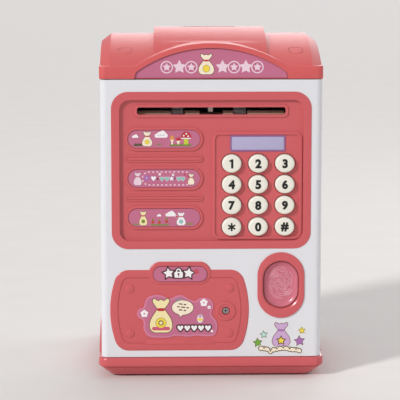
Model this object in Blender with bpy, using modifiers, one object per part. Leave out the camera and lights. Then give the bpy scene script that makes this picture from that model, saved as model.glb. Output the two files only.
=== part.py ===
"""Toy savings bank shaped like a cash machine, as separate moulded pieces with real joints.

The model is drawn in millimetres and written to the scene in metres.
+X is the bank's right seen from the front, -Y is the front, +Z is up.
The origin is on the floor, under the middle of the bank.
"""
import math

import bmesh
import bpy
from mathutils import Matrix, Vector

# ---------------------------------------------------------------- driving dimensions, millimetres
MM = 0.001
GAP = 0.3                      # clearance between pieces that touch
WALL = 2.4                     # moulded wall

BODY_X = 66.0                  # half width of the white body
BODY_Y = 59.5                  # half depth of the white body
BODY_CORNER = 4.0
BODY_LOW = 12.65
BODY_HIGH = 180.2
SPLIT_Y = 20.0                 # where the front and rear shells meet

BASE_X = 67.8
BASE_Y = 63.0
BASE_UNDER = 1.2
RIM_ARCH_HIGH = 27.6           # top of the arched rim at mid side
RIM_ARCH_HALF = 44.0

ROOF_X = 66.5
ROOF_Y = 60.5
FASCIA_HIGH = 187.9
BARREL_Y = 59.8                # half depth of the barrel where it meets the fascia
RIDGE_HIGH = 204.4
HIP_X = 60.0                   # where the ridge ends and the hips begin
HIP_END_X = 66.0
HIP_END_Y = 51.2
HIP_END_HIGH = 199.8
BLOCK_X = 33.75
BLOCK_HIGH = 208.4
PEDIMENT = (46.5, 187.0, 201.5)     # half width, height of the ends and of the crown
PEDIMENT_BACK = -30.0
SIGN_ARCH = (44.3, 184.4, 198.3)
SIGN_HALF = 45.4
SIGN_LOW = 180.9
SIGN_BED = -58.9
COIN_SLOT = (32.0, 4.8)

PANEL_X = 59.4
PANEL_LOW = 78.8
PANEL_HIGH = 172.8
PANEL_CORNER = 10.0
PANEL_RIM = 4.8
PANEL_FRONT = -61.5
PANEL_FLOOR = -59.7
PANEL_BACK = -57.3
NOTE_HALF = 44.1
NOTE_LOW = 159.1
NOTE_HIGH = 163.5
LABEL_X = (-49.55, -6.5)
LABEL_ROWS = (("label_upper", 139.2, 150.0), ("label_middle", 115.6, 126.6),
              ("label_lower", 92.0, 103.0))
KEYPAD_FRAME = (0.5, 54.3, 84.2, 148.9)
LCD = (11.4, 43.9, 137.3, 146.5)
KEY_COLUMNS = (12.1, 27.9, 43.8)
KEY_ROWS = (130.0, 117.5, 105.0, 92.0)
KEY_NAMES = (("key_1", "key_2", "key_3"), ("key_4", "key_5", "key_6"),
             ("key_7", "key_8", "key_9"), ("key_star", "key_0", "key_hash"))
KEY_RX = 5.8
KEY_RZ = 5.4
KEY_FRONT = -62.6

DOOR_MID_Z = 41.5
DOOR_LEFT = -60.85
DOOR_RIGHT = 22.8
DOOR_LOW = 16.7
DOOR_HIGH = 66.3
DOOR_BOW = 60.0                # radius of the bowed sides
DOOR_CORNER = 9.0
DOOR_FRONT = -61.9
DOOR_BACK = -59.8
DOOR_LAP = 2.0                 # how far the door covers the wall around its opening
TAB = (-37.3, -0.1, 57.2, 71.1)
TAB_FRONT = -62.3
HEX_BOSSES = ((-48.7, 55.0), (-48.8, 27.6), (11.0, 55.2), (10.6, 27.6))
TAB_LABEL = (-34.7, -2.7, 59.3, 68.2)
HINGE = (-59.8, -60.75)        # X and Y of the door's upright hinge axis, inside its edge
HINGE_LUG = (40.6, 42.4)       # low and high ends of the lug that the pin goes through
HINGE_PIN = (38.0, 45.0)
LOCK = (8.7, 41.0)
LATCH = (-52.0, 28.5)          # Y and Z of the latch bolt's axis

BEZEL = (27.7, 55.8, 36.65, 76.6)
BEZEL_HOLE = (31.4, 52.4, 42.7, 70.8)
BEZEL_FRONT = -62.2
CORNER_LABEL = (25.2, 57.9, 14.6, 34.6)

BIN_X = (-63.3, 24.4)
BIN_Y = (-54.5, 34.0)
BIN_Z = (15.2, 72.0)

FEED = (-47.5, 166.4, 5.0)     # Y, Z and radius of the feed rollers
IDLER = (-47.5, 157.2, 4.0)
ROLLERS = ((-23.4, -16.5), (13.5, 21.0))
LEVER = (-54.2, 169.5)
FEED_TEETH = 24
PINION_TEETH = 9
TOOTH_MODULE = 2.0 / 3.0
MESH_ANGLE = math.radians(65.0)

BATTERY = (-27.0, 27.0, 20.0, 66.0)
BATTERY_HINGE = (58.4, 21.4)
SCREWS = ((-57.0, 84.0), (57.0, 84.0), (-57.0, 168.0), (57.0, 168.0))
SWITCH = (40.0, 100.0)
SPEAKER = (-34.0, 122.0)
ROUND = 24                     # sides of a round piece


# ---------------------------------------------------------------- scene and materials
def clear_scene():
    for obj in list(bpy.data.objects):
        bpy.data.objects.remove(obj, do_unlink=True)


def linear(channel):
    value = channel / 255.0
    return value / 12.92 if value <= 0.04045 else ((value + 0.055) / 1.055) ** 2.4


def material(name, rgb, roughness=0.4, metallic=0.0):
    """A Principled material named once and shared by the pieces moulded from it."""
    made = bpy.data.materials.get(name)
    if made:
        return made
    made = bpy.data.materials.new(name)
    made.use_nodes = True
    shader = made.node_tree.nodes["Principled BSDF"]
    colour = (linear(rgb[0]), linear(rgb[1]), linear(rgb[2]), 1.0)
    shader.inputs["Base Color"].default_value = colour
    shader.inputs["Roughness"].default_value = roughness
    shader.inputs["Metallic"].default_value = metallic
    made.diffuse_color = colour
    return made


PALETTE = {
    "coral_plastic": ((206, 92, 96), 0.38, 0.0),
    "white_plastic": ((226, 226, 230), 0.35, 0.0),
    "cream_plastic": ((238, 234, 222), 0.4, 0.0),
    "printed_label": ((200, 110, 140), 0.5, 0.0),
    "lilac_lens": ((178, 172, 204), 0.2, 0.0),
    "pink_lens": ((205, 112, 128), 0.25, 0.0),
    "grey_rubber": ((120, 120, 122), 0.8, 0.0),
    "black_plastic": ((38, 36, 38), 0.55, 0.0),
    "circuit_board": ((34, 96, 62), 0.5, 0.0),
    "steel": ((170, 170, 174), 0.3, 1.0),
    "nylon": ((222, 218, 204), 0.5, 0.0),
}


# ---------------------------------------------------------------- meshes, drawn in millimetres
def evaluated_mesh(obj):
    graph = bpy.context.evaluated_depsgraph_get()
    return bpy.data.meshes.new_from_object(obj.evaluated_get(graph))


def link_temporary(data):
    obj = bpy.data.objects.new("temporary", data)
    bpy.context.scene.collection.objects.link(obj)
    return obj


def tidy(mesh, weld=0.0005):
    """Weld the mesh's loose seams and turn its faces outwards."""
    work = bmesh.new()
    work.from_mesh(mesh)
    bmesh.ops.remove_doubles(work, verts=work.verts, dist=weld)
    bmesh.ops.recalc_face_normals(work, faces=work.faces)
    work.to_mesh(mesh)
    work.free()
    return mesh


AXES = {
    "X": Matrix(((0, 0, 1, 0), (1, 0, 0, 0), (0, 1, 0, 0), (0, 0, 0, 1))),
    "Y": Matrix(((1, 0, 0, 0), (0, 0, -1, 0), (0, 1, 0, 0), (0, 0, 0, 1))),
    "Z": Matrix.Identity(4),
}


def prism(loops, axis, low, high):
    """A flat outline, with holes where it has more loops, carried from low to high along an axis.

    Outlines are in YZ along X, in XZ along Y and in XY along Z.
    """
    curve = bpy.data.curves.new("outline", "CURVE")
    curve.dimensions = "2D"
    curve.fill_mode = "BOTH"
    curve.extrude = (high - low) / 2
    for loop in loops:
        spline = curve.splines.new("POLY")
        spline.points.add(len(loop) - 1)
        for point, place in zip(spline.points, loop):
            point.co = (place[0], place[1], 0.0, 1.0)
        spline.use_cyclic_u = True
    obj = link_temporary(curve)
    mesh = evaluated_mesh(obj)
    bpy.data.objects.remove(obj)
    middle = (low + high) / 2
    if axis == "Y":
        middle = -middle
    mesh.transform(AXES[axis] @ Matrix.Translation((0, 0, middle)))
    mesh.materials.clear()
    return tidy(mesh)


def box(x0, x1, y0, y1, z0, z1):
    work = bmesh.new()
    bmesh.ops.create_cube(work, size=1.0)
    size = Matrix.Diagonal((x1 - x0, y1 - y0, z1 - z0, 1.0))
    middle = Matrix.Translation(((x0 + x1) / 2, (y0 + y1) / 2, (z0 + z1) / 2))
    work.transform(middle @ size)
    mesh = bpy.data.meshes.new("box")
    work.to_mesh(mesh)
    work.free()
    return mesh


def cylinder(radius, axis, low, high, u, v, sides=ROUND):
    """A cylinder along an axis, its centre at u, v in the plane across it."""
    work = bmesh.new()
    bmesh.ops.create_cone(work, cap_ends=True, segments=sides, radius1=radius, radius2=radius,
                          depth=high - low)
    mesh = bpy.data.meshes.new("cylinder")
    if axis == "Y":
        work.transform(Matrix.Rotation(math.radians(-90), 4, "X"))
        work.transform(Matrix.Translation((u, (low + high) / 2, v)))
    elif axis == "X":
        work.transform(Matrix.Rotation(math.radians(90), 4, "Y"))
        work.transform(Matrix.Translation(((low + high) / 2, u, v)))
    else:
        work.transform(Matrix.Translation((u, v, (low + high) / 2)))
    work.to_mesh(mesh)
    work.free()
    return mesh


def loft(rings):
    """Skin rings of equal point count, closed with a cap at each end."""
    work = bmesh.new()
    rows = [[work.verts.new(point) for point in ring] for ring in rings]
    count = len(rows[0])
    for lower, upper in zip(rows, rows[1:]):
        for i in range(count):
            j = (i + 1) % count
            work.faces.new((lower[i], lower[j], upper[j], upper[i]))
    work.faces.new(rows[0])
    work.faces.new(rows[-1])
    mesh = bpy.data.meshes.new("loft")
    work.to_mesh(mesh)
    work.free()
    return tidy(mesh)


def merged(meshes):
    work = bmesh.new()
    for mesh in meshes:
        work.from_mesh(mesh)
        bpy.data.meshes.remove(mesh)
    out = bpy.data.meshes.new("merged")
    work.to_mesh(out)
    work.free()
    return out


def boolean(target, tools, operation):
    obj = link_temporary(target)
    tool = link_temporary(merged(tools))
    modifier = obj.modifiers.new("boolean", "BOOLEAN")
    modifier.operation = operation
    modifier.solver = "EXACT"
    modifier.object = tool
    mesh = evaluated_mesh(obj)
    bpy.data.objects.remove(obj)
    bpy.data.objects.remove(tool)
    mesh.materials.clear()
    return tidy(mesh)


def cut(target, *tools):
    return boolean(target, tools, "DIFFERENCE")


def join(target, *tools):
    for tool in tools:
        target = boolean(target, [tool], "UNION")
    return target


def bevelled(mesh, width, segments=2, angle=40.0):
    obj = link_temporary(mesh)
    modifier = obj.modifiers.new("bevel", "BEVEL")
    modifier.width = width
    modifier.segments = segments
    modifier.limit_method = "ANGLE"
    modifier.angle_limit = math.radians(angle)
    out = evaluated_mesh(obj)
    bpy.data.objects.remove(obj)
    return tidy(out)


# ---------------------------------------------------------------- outlines
def arc(u, v, radius_u, radius_v, start, end, steps):
    points = []
    for i in range(steps + 1):
        angle = math.radians(start + (end - start) * i / steps)
        points.append((u + radius_u * math.cos(angle), v + radius_v * math.sin(angle)))
    return points


def rounded(u0, u1, v0, v1, radius, steps=4):
    """A rectangle with round corners, anticlockwise from its lower right corner."""
    if radius <= 0:
        return [(u0, v0), (u1, v0), (u1, v1), (u0, v1)]
    corners = ((u1 - radius, v0 + radius, -90), (u1 - radius, v1 - radius, 0),
               (u0 + radius, v1 - radius, 90), (u0 + radius, v0 + radius, 180))
    points = []
    for u, v, start in corners:
        points += arc(u, v, radius, radius, start, start + 90, steps)
    return without_repeats(points)


def without_repeats(points):
    kept = []
    for point in points:
        if not kept or math.dist(point, kept[-1]) > 0.01:
            kept.append(point)
    if math.dist(kept[0], kept[-1]) < 0.01:
        kept.pop()
    return kept


def grown(bounds, by):
    u0, u1, v0, v1 = bounds
    return u0 - by, u1 + by, v0 - by, v1 + by


def stadium(bounds, steps=6):
    u0, u1, v0, v1 = bounds
    return rounded(u0, u1, v0, v1, min(u1 - u0, v1 - v0) / 2 - 0.001, steps)


def ellipse(u, v, radius_u, radius_v, sides=ROUND):
    return arc(u, v, radius_u, radius_v, 0, 360, sides)[:-1]


def segment_arch(half, low, high, steps=16):
    """A flat bottomed circular segment: its chord at low and its crown at high."""
    rise = high - low
    radius = (half * half + rise * rise) / (2 * rise)
    reach = math.degrees(math.asin(half / radius))
    return arc(0, high - radius, radius, radius, 90 - reach, 90 + reach, steps)


def door_outline(grow=0.0, steps=5):
    """Flat top and bottom, gently bowed sides and round corners, each arc tangent to the next."""
    bow, corner = DOOR_BOW + grow, DOOR_CORNER + grow
    rise = (DOOR_HIGH - DOOR_LOW) / 2 + grow - corner
    reach = math.degrees(math.asin(rise / (bow - corner)))
    half = (DOOR_RIGHT - DOOR_LEFT) / 2 + grow
    middle = (DOOR_LEFT + DOOR_RIGHT) / 2
    centre = half - bow
    inset = centre + math.sqrt((bow - corner) ** 2 - rise ** 2)
    right = arc(inset, -rise, corner, corner, -90, -reach, steps)
    right += arc(centre, 0, bow, bow, -reach, reach, 2 * steps)
    right += arc(inset, rise, corner, corner, reach, 90, steps)
    points = right + [(-u, -v) for u, v in right]
    return without_repeats([(middle + u, DOOR_MID_Z + v) for u, v in points])


def gear_outline(teeth, module, phase):
    """Stub teeth with sloping flanks, thin enough to run with play."""
    pitch = teeth * module / 2
    tip, root = pitch + 0.72 * module, pitch - 0.95 * module
    points = []
    step = 2 * math.pi / teeth
    for i in range(teeth):
        middle = phase + i * step
        for radius, share in ((root, -0.30), (tip, -0.12), (tip, 0.12), (root, 0.30)):
            angle = middle + share * step
            points.append((radius * math.cos(angle), radius * math.sin(angle)))
    return points


# ---------------------------------------------------------------- nodes
def new_collection(name):
    made = bpy.data.collections.new(name)
    bpy.context.scene.collection.children.link(made)
    return made


def node(name, mesh, finish, origin=(0.0, 0.0, 0.0), smooth=30.0):
    """Put a finished mesh in the scene, in metres, about its own origin in millimetres."""
    mesh.transform(Matrix.Translation(-Vector(origin)))
    mesh.transform(Matrix.Scale(MM, 4))
    mesh.name = name
    mesh.materials.clear()
    mesh.materials.append(material(finish, *PALETTE[finish]))
    mesh.shade_smooth()
    mesh.set_sharp_from_angle(angle=math.radians(smooth))
    obj = bpy.data.objects.new(name, mesh)
    obj.location = Vector(origin) * MM
    PARTS.objects.link(obj)
    return obj


def parent_to(child, parent):
    child.parent = parent
    child.matrix_parent_inverse = Matrix.Translation(-parent.location)


# ---------------------------------------------------------------- casings
def body_ring(x, y, low, high, wall):
    outer = rounded(-x, x, -y, y, BODY_CORNER)
    inner = rounded(-x + wall, x - wall, -y + wall, y - wall, BODY_CORNER - wall + 0.6)
    return prism([outer, inner], "Z", low, high)


def front_shell():
    """The white front and sides, open at the back, with the cut-outs for what it carries."""
    low, high = BODY_LOW + GAP, BODY_HIGH - GAP
    mesh = body_ring(BODY_X, BODY_Y, low, high, WALL)
    mesh = cut(mesh, box(-70, 70, SPLIT_Y - GAP / 2, 70, 0, 200))
    for x, z in SCREWS:
        side = math.copysign(1.0, x)
        reach = sorted((x - side * 4.5, side * (BODY_X - WALL + 0.4)))
        mesh = join(mesh, box(reach[0], reach[1], 4.0, SPLIT_Y - GAP / 2, z - 4.5, z + 4.5))
    panel = prism([rounded(-57.6, 57.6, 80.6, 171.0, 8.0)], "Y", -65, -50)
    door = prism([door_outline(-DOOR_LAP)], "Y", -65, -50)
    bezel = prism([stadium(grown(BEZEL, -2.0))], "Y", -65, -50)
    mesh = cut(mesh, panel, door, bezel)
    mesh = cut(mesh, *[cylinder(1.7, "Y", 7.0, 30.0, x, z, 12) for x, z in SCREWS])
    lug = join(box(HINGE[0] - 0.7, HINGE[0] + 0.7, HINGE[1], -BODY_Y + 1.0, *HINGE_LUG),
               cylinder(0.75, "Z", *HINGE_LUG, HINGE[0], HINGE[1], 16))
    lug = cut(lug, cylinder(0.48, "Z", 30.0, 50.0, HINGE[0], HINGE[1], 12))
    mesh = join(mesh, lug)
    return node("front_shell", mesh, "white_plastic")


def rear_shell():
    """The white back with the battery opening, speaker slots and screw towers."""
    low, high = BODY_LOW + GAP, BODY_HIGH - GAP
    mesh = body_ring(BODY_X, BODY_Y, low, high, WALL)
    mesh = cut(mesh, box(-70, 70, -70, SPLIT_Y + GAP / 2, 0, 200))
    for x, z in SCREWS:
        tower = cylinder(4.6, "Y", SPLIT_Y + GAP / 2, BODY_Y - 1.0, x, z, 16)
        mesh = join(mesh, tower)
    slots = []
    for i in range(6):
        z = SPEAKER[1] + (i - 2.5) * 4.4
        half = math.sqrt(13.0 ** 2 - (z - SPEAKER[1]) ** 2)
        bounds = (SPEAKER[0] - half, SPEAKER[0] + half, z - 0.9, z + 0.9)
        slots.append(prism([stadium(bounds, 2)], "Y", 50, 65))
    battery = box(BATTERY[0], BATTERY[1], 50, 65, BATTERY[2] - 0.4, BATTERY[3])
    switch = box(SWITCH[0] - 5.4, SWITCH[0] + 5.4, 50, 65, SWITCH[1] - 2.4, SWITCH[1] + 2.4)
    mesh = cut(mesh, battery, switch, *slots)
    wells = [cylinder(3.3, "Y", 28.0, 65.0, x, z, 16) for x, z in SCREWS]
    mesh = cut(mesh, *wells)
    shanks = [cylinder(1.8, "Y", 18.0, 30.0, x, z, 12) for x, z in SCREWS]
    mesh = cut(mesh, *shanks)
    return node("rear_shell", mesh, "white_plastic")


def roof_section(x, half_depth, low, fascia, crown):
    """One section of the roof across its length: a shallow arch over an upright skirt."""
    outline = [(-half_depth, low), (half_depth, low)] + segment_arch(half_depth, fascia, crown, 20)
    return [(x, y, z) for y, z in outline]


def barrel(low, thinner=0.0):
    """The barrel roof with hipped ends, or with thinner set, the hollow under it."""
    foot = 2.0 * thinner
    end_x, hip_x = HIP_END_X - thinner, HIP_X - 0.6 * thinner
    end = (HIP_END_Y - foot, low, FASCIA_HIGH, HIP_END_HIGH - thinner)
    middle = (BARREL_Y - foot, low, FASCIA_HIGH, RIDGE_HIGH - thinner)
    return loft([roof_section(-end_x, *end), roof_section(-hip_x, *middle),
                 roof_section(hip_x, *middle), roof_section(end_x, *end)])


def roof_plan(low, high, inset, corner):
    outline = rounded(-ROOF_X + inset, ROOF_X - inset, -ROOF_Y + inset, ROOF_Y - inset, corner)
    return prism([outline], "Z", low, high)


def sign_outline(grow, low):
    """A shallow arch with steep ends and a flat foot."""
    half, shoulder, crown = SIGN_ARCH
    foot = SIGN_HALF + grow
    feet = [(-foot, SIGN_LOW), (-foot, low), (foot, low), (foot, SIGN_LOW)]
    return without_repeats(segment_arch(half + grow, shoulder, crown + grow, 24) + feet)


def roof_cover():
    """The coral lid: fascia, barrel roof with hipped ends, raised block, pediment, coin slot."""
    arch_foot = FASCIA_HIGH - 0.5
    block = loft([roof_section(x, BARREL_Y - 0.2, arch_foot - 0.4, arch_foot, BLOCK_HIGH)
                  for x in (-BLOCK_X, BLOCK_X)])
    pediment = prism([segment_arch(*PEDIMENT)], "Y", -ROOF_Y, PEDIMENT_BACK)
    mesh = join(roof_plan(BODY_HIGH, FASCIA_HIGH, 0.0, 4.0), barrel(FASCIA_HIGH - 1.0), block,
                pediment)
    under_block = loft([roof_section(x, BARREL_Y - 2.0 * WALL, 184.0, arch_foot, BLOCK_HIGH - WALL)
                        for x in (-BLOCK_X + WALL, BLOCK_X - WALL)])
    half, low, high = PEDIMENT
    behind = prism([segment_arch(half - WALL, low - WALL, high - WALL)], "Y", SIGN_BED + 1.6, -34.0)
    mesh = cut(mesh, roof_plan(BODY_HIGH - 5, FASCIA_HIGH - WALL, 3.2, 1.0))
    mesh = cut(mesh, barrel(184.0, WALL))
    mesh = cut(mesh, under_block)
    mesh = cut(mesh, behind)
    slot = box(-COIN_SLOT[0] / 2, COIN_SLOT[0] / 2, -COIN_SLOT[1] / 2, COIN_SLOT[1] / 2, 195, 215)
    bed = prism([sign_outline(0.2, BODY_HIGH - 2)], "Y", -65.0, SIGN_BED)
    mesh = cut(mesh, slot, bed)
    return node("roof_cover", mesh, "coral_plastic")


def sign_label():
    mesh = prism([sign_outline(-0.2, SIGN_LOW)], "Y", SIGN_BED - 0.7, SIGN_BED - 0.3)
    return node("sign_label", mesh, "printed_label")


def base_tray():
    """The coral foot of the bank: a flared tray with an arched rim up each side."""
    levels = ((BASE_UNDER, 9.4, 6.0), (6.8, 0.8, 5.6), (8.4, 0.0, 6.0), (11.4, 0.1, 6.0),
              (BODY_LOW, 0.8, 5.4))
    rings = []
    for z, inset, corner in levels:
        outline = rounded(-BASE_X + inset, BASE_X - inset, -BASE_Y + inset, BASE_Y - inset, corner)
        rings.append([(x, y, z) for x, y in outline])
    mesh = loft(rings)
    hollow = []
    for z, inset in ((4.0, 12.0), (8.6, 4.6), (20.0, 4.6)):
        outline = rounded(-BASE_X + inset, BASE_X - inset, -BASE_Y + inset + 1.0,
                          BASE_Y - inset - 1.0, 4.0)
        hollow.append([(x, y, z) for x, y in outline])
    mesh = cut(mesh, loft(hollow))
    for side in (-1, 1):
        reach = sorted((side * (BODY_X + GAP), side * (BASE_X - 0.1)))
        outline = segment_arch(RIM_ARCH_HALF, BODY_LOW - 1.6, RIM_ARCH_HIGH)
        mesh = join(mesh, prism([outline], "X", reach[0], reach[1]))
    pockets = [prism([rounded(*foot_bounds(x, y, 0.3), 2.3, 2)], "Z", -1.0, 2.3)
               for x in (-1, 1) for y in (-1, 1)]
    mesh = cut(mesh, *pockets)
    return node("base_tray", mesh, "coral_plastic")


def foot_bounds(side_x, side_y, grow):
    x, y = side_x * 50.5, side_y * 45.5
    return x - 5.5 - grow, x + 5.5 + grow, y - 4.5 - grow, y + 4.5 + grow


def feet():
    for name, side_x, side_y in (("foot_front_left", -1, -1), ("foot_front_right", 1, -1),
                                 ("foot_rear_left", -1, 1), ("foot_rear_right", 1, 1)):
        mesh = prism([rounded(*foot_bounds(side_x, side_y, 0.0), 2.0, 2)], "Z", 0.0, 2.0)
        node(name, mesh, "grey_rubber")


# ---------------------------------------------------------------- front panel and keypad
def front_panel():
    """The coral fascia: raised rim, note slot, label pockets, display window and key wells."""
    outer = rounded(-PANEL_X, PANEL_X, PANEL_LOW, PANEL_HIGH, PANEL_CORNER, 6)
    rim = PANEL_RIM
    inner = rounded(-PANEL_X + rim, PANEL_X - rim, PANEL_LOW + rim, PANEL_HIGH - rim,
                    PANEL_CORNER - rim + 1, 6)
    mesh = prism([outer], "Y", PANEL_FRONT, -BODY_Y - GAP)
    insert = prism([rounded(-57.3, 57.3, 80.9, 170.7, 7.7)], "Y", -60.5, PANEL_BACK)
    mesh = join(mesh, insert)
    mesh = cut(mesh, prism([inner], "Y", -65.0, PANEL_FLOOR))
    lip = prism([rounded(-NOTE_HALF - 1.9, NOTE_HALF + 1.9, NOTE_LOW - 1.7, NOTE_HIGH + 1.6, 1.2, 2)],
                "Y", PANEL_FLOOR - 0.7, PANEL_FLOOR + 0.6)
    mesh = join(mesh, lip)
    for _, low, high in LABEL_ROWS:
        mesh = join(mesh, raised_ring((LABEL_X[0], LABEL_X[1], low, high), 1.7, 0.6))
    for low, high in ((130.6, 135.2), (107.2, 111.4)):
        mesh = join(mesh, prism([stadium((-51.7, -4.8, low, high), 3)], "Y", PANEL_FLOOR - 0.4,
                                PANEL_FLOOR + 0.5))
    mesh = join(mesh, keypad_frame())
    slot = box(-NOTE_HALF, NOTE_HALF, -65, -50, NOTE_LOW, NOTE_HIGH)
    screen = prism([rounded(*grown(LCD, 0.3), 1.0, 2)], "Y", -65, -50)
    keys = [prism([ellipse(x, z, KEY_RX + 0.35, KEY_RZ + 0.35)], "Y", -65, -50)
            for z in KEY_ROWS for x in KEY_COLUMNS]
    mesh = cut(mesh, slot, screen, *keys)
    return node("front_panel", mesh, "coral_plastic")


def raised_ring(bounds, width, height):
    loops = [stadium(grown(bounds, width)), stadium(grown(bounds, 0.1))]
    return prism(loops, "Y", PANEL_FLOOR - height, PANEL_FLOOR + 0.5)


def keypad_frame():
    outer = rounded(*KEYPAD_FRAME, 4.3, 4)
    inner = rounded(*grown(KEYPAD_FRAME, -2.0), 2.5, 4)
    return prism([outer, inner], "Y", PANEL_FLOOR - 0.6, PANEL_FLOOR + 0.5)


def panel_labels():
    for name, low, high in LABEL_ROWS:
        bounds = grown((LABEL_X[0], LABEL_X[1], low, high), -0.2)
        mesh = prism([stadium(bounds)], "Y", PANEL_FLOOR - 0.55, PANEL_FLOOR - 0.15)
        node(name, mesh, "printed_label")


def display():
    window = prism([rounded(*LCD, 0.8, 2)], "Y", PANEL_FLOOR - 0.4, PANEL_FLOOR + 1.6)
    node("display_window", window, "lilac_lens")


def keys():
    """Twelve push keys, each held behind the fascia by its flange."""
    for z, names in zip(KEY_ROWS, KEY_NAMES):
        for x, name in zip(KEY_COLUMNS, names):
            cap = prism([ellipse(x, z, KEY_RX, KEY_RZ)], "Y", KEY_FRONT, -56.9)
            cap = bevelled(cap, 0.9, 2)
            flange = prism([ellipse(x, z, KEY_RX + 1.2, KEY_RZ + 0.6, 16)], "Y", -57.0, -56.2)
            stem = cylinder(2.2, "Y", -56.4, -55.7, x, z, 12)
            mesh = join(cap, flange, stem)
            node(name, mesh, "cream_plastic", (x, KEY_FRONT, z))


def keypad_electronics():
    sheet = box(2.0, 57.0, -53.4, -52.7, 84.0, 136.0)
    for z in KEY_ROWS:
        for x in KEY_COLUMNS:
            sheet = join(sheet, cylinder(3.4, "Y", -54.2, -53.2, x, z, 12))
    node("keypad_membrane", sheet, "grey_rubber")
    board = box(2.0, 57.0, -52.4, -50.8, 84.0, 151.0)
    display_module = box(6.0, 49.0, -56.8, -52.0, 136.6, 150.6)
    node("keypad_board", join(board, display_module), "circuit_board")


# ---------------------------------------------------------------- fingerprint lock
def fingerprint_bezel():
    outer = bevelled(prism([stadium(BEZEL, 8)], "Y", BEZEL_FRONT, -BODY_Y - GAP), 1.2, 2)
    insert = prism([stadium(grown(BEZEL, -2.3), 8)], "Y", -60.6, -57.0)
    mesh = join(outer, insert)
    mesh = cut(mesh, prism([stadium(BEZEL_HOLE, 8)], "Y", -65, -50))
    return node("fingerprint_bezel", mesh, "coral_plastic")


def fingerprint_button():
    """The lens that is pressed with a fingertip, with a flange that keeps it in."""
    cap = prism([stadium(grown(BEZEL_HOLE, -0.35), 8)], "Y", -60.8, -56.0)
    flange = prism([stadium(grown(BEZEL_HOLE, 1.2), 6)], "Y", -56.6, -55.6)
    mesh = join(bevelled(cap, 0.6, 2), flange)
    middle = ((BEZEL_HOLE[0] + BEZEL_HOLE[1]) / 2, -60.8, (BEZEL_HOLE[2] + BEZEL_HOLE[3]) / 2)
    return node("fingerprint_button", mesh, "pink_lens", middle)


def main_board():
    board = box(27.0, 60.0, -50.0, -48.4, 37.0, 78.0)
    switch = box(38.4, 45.4, -53.6, -49.6, 53.2, 60.2)
    return node("main_board", join(board, switch), "circuit_board")


def corner_label():
    mesh = prism([rounded(*CORNER_LABEL, 3.0)], "Y", -BODY_Y - 0.55, -BODY_Y - 0.2)
    return node("corner_label", mesh, "printed_label")


# ---------------------------------------------------------------- door and latch
def door_panel():
    """The bowed safe door with its nameplate tab, and a notch for the hinge lug in its edge."""
    mesh = bevelled(prism([door_outline()], "Y", DOOR_FRONT, DOOR_BACK), 1.2, 2)
    groove = [door_outline(-4.6), door_outline(-5.8)]
    mesh = cut(mesh, prism(groove, "Y", -65.0, DOOR_FRONT + 0.7))
    tab = bevelled(prism([stadium(TAB)], "Y", TAB_FRONT, DOOR_BACK), 0.7, 1)
    bosses = [cylinder(2.9, "Y", DOOR_FRONT - 0.5, DOOR_FRONT + 0.6, x, z, 6)
              for x, z in HEX_BOSSES]
    ring = cylinder(5.95, "Y", DOOR_FRONT - 0.6, DOOR_FRONT + 0.6, LOCK[0], LOCK[1], ROUND)
    mesh = join(mesh, tab, ring, *bosses)
    well = cylinder(2.5, "Y", -70, DOOR_FRONT + 1.3, LOCK[0], LOCK[1], 16)
    notch = box(-65.0, HINGE[0] + 1.05, HINGE[1] - 0.87, -50.0, HINGE_LUG[0] - 0.3, HINGE_LUG[1] + 0.3)
    pin = cylinder(0.48, "Z", HINGE_PIN[0] - 0.2, HINGE_PIN[1] + 0.2, HINGE[0], HINGE[1], 12)
    mesh = cut(cut(mesh, well, notch), pin)
    return node("door_panel", mesh, "coral_plastic", (HINGE[0], HINGE[1], DOOR_MID_Z))


def door_keeper():
    """A bent steel hook behind the door that the latch bolt slides into."""
    pad = box(9.5, 16.0, DOOR_BACK + 0.3, DOOR_BACK + 1.8, LATCH[1] - 2.0, LATCH[1] + 5.5)
    stem = box(11.0, 14.5, DOOR_BACK + 1.2, LATCH[0] + 3.4, LATCH[1] + 2.1, LATCH[1] + 3.9)
    lip = box(11.0, 14.5, LATCH[0] + 2.0, LATCH[0] + 3.4, LATCH[1] - 1.9, LATCH[1] + 3.9)
    return join(pad, stem, lip)


def door_trim(door):
    """What is fastened to the door: nameplate, label and lock screw."""
    plate = prism([stadium(TAB_LABEL)], "Y", TAB_FRONT - 0.6, TAB_FRONT - 0.3)
    outline = rounded(-44.3, 2.2, 25.0, 51.1, 9.0, 5)
    label = prism([outline], "Y", DOOR_FRONT - 0.55, DOOR_FRONT - 0.2)
    screw = cylinder(2.2, "Y", DOOR_FRONT - 0.1, DOOR_FRONT + 1.0, LOCK[0], LOCK[1], 16)
    pieces = [node("door_nameplate", plate, "printed_label"),
              node("door_label", label, "printed_label"),
              node("door_lock_screw", screw, "steel"),
              node("door_keeper", door_keeper(), "steel")]
    for piece in pieces:
        parent_to(piece, door)
    pin = cylinder(0.4, "Z", *HINGE_PIN, HINGE[0], HINGE[1], 12)
    node("hinge_pin", pin, "steel")


def latch():
    body = box(27.0, 47.0, -56.8, -47.2, LATCH[1] - 4.8, LATCH[1] + 4.8)
    body = cut(body, cylinder(1.8, "X", 20, 44, LATCH[0], LATCH[1], 12))
    node("latch_solenoid", body, "black_plastic")
    bolt = cylinder(1.5, "X", 16.5, 43.0, LATCH[0], LATCH[1], 12)
    node("latch_plunger", bolt, "steel", (16.5, LATCH[0], LATCH[1]))


# ---------------------------------------------------------------- inside
def cash_bin():
    """The money compartment: open towards the door and open above for what falls in."""
    mesh = box(BIN_X[0], BIN_X[1], BIN_Y[0], BIN_Y[1], BIN_Z[0], BIN_Z[1])
    mesh = cut(mesh, box(BIN_X[0] + 1.4, BIN_X[1] - 1.4, BIN_Y[0] - 5, BIN_Y[1] - 1.4,
                         BIN_Z[0] + 1.6, BIN_Z[1] + 5))
    mesh = cut(mesh, cylinder(2.2, "X", 20, 30, LATCH[0], LATCH[1], 12))
    return node("cash_bin", mesh, "white_plastic")


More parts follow.
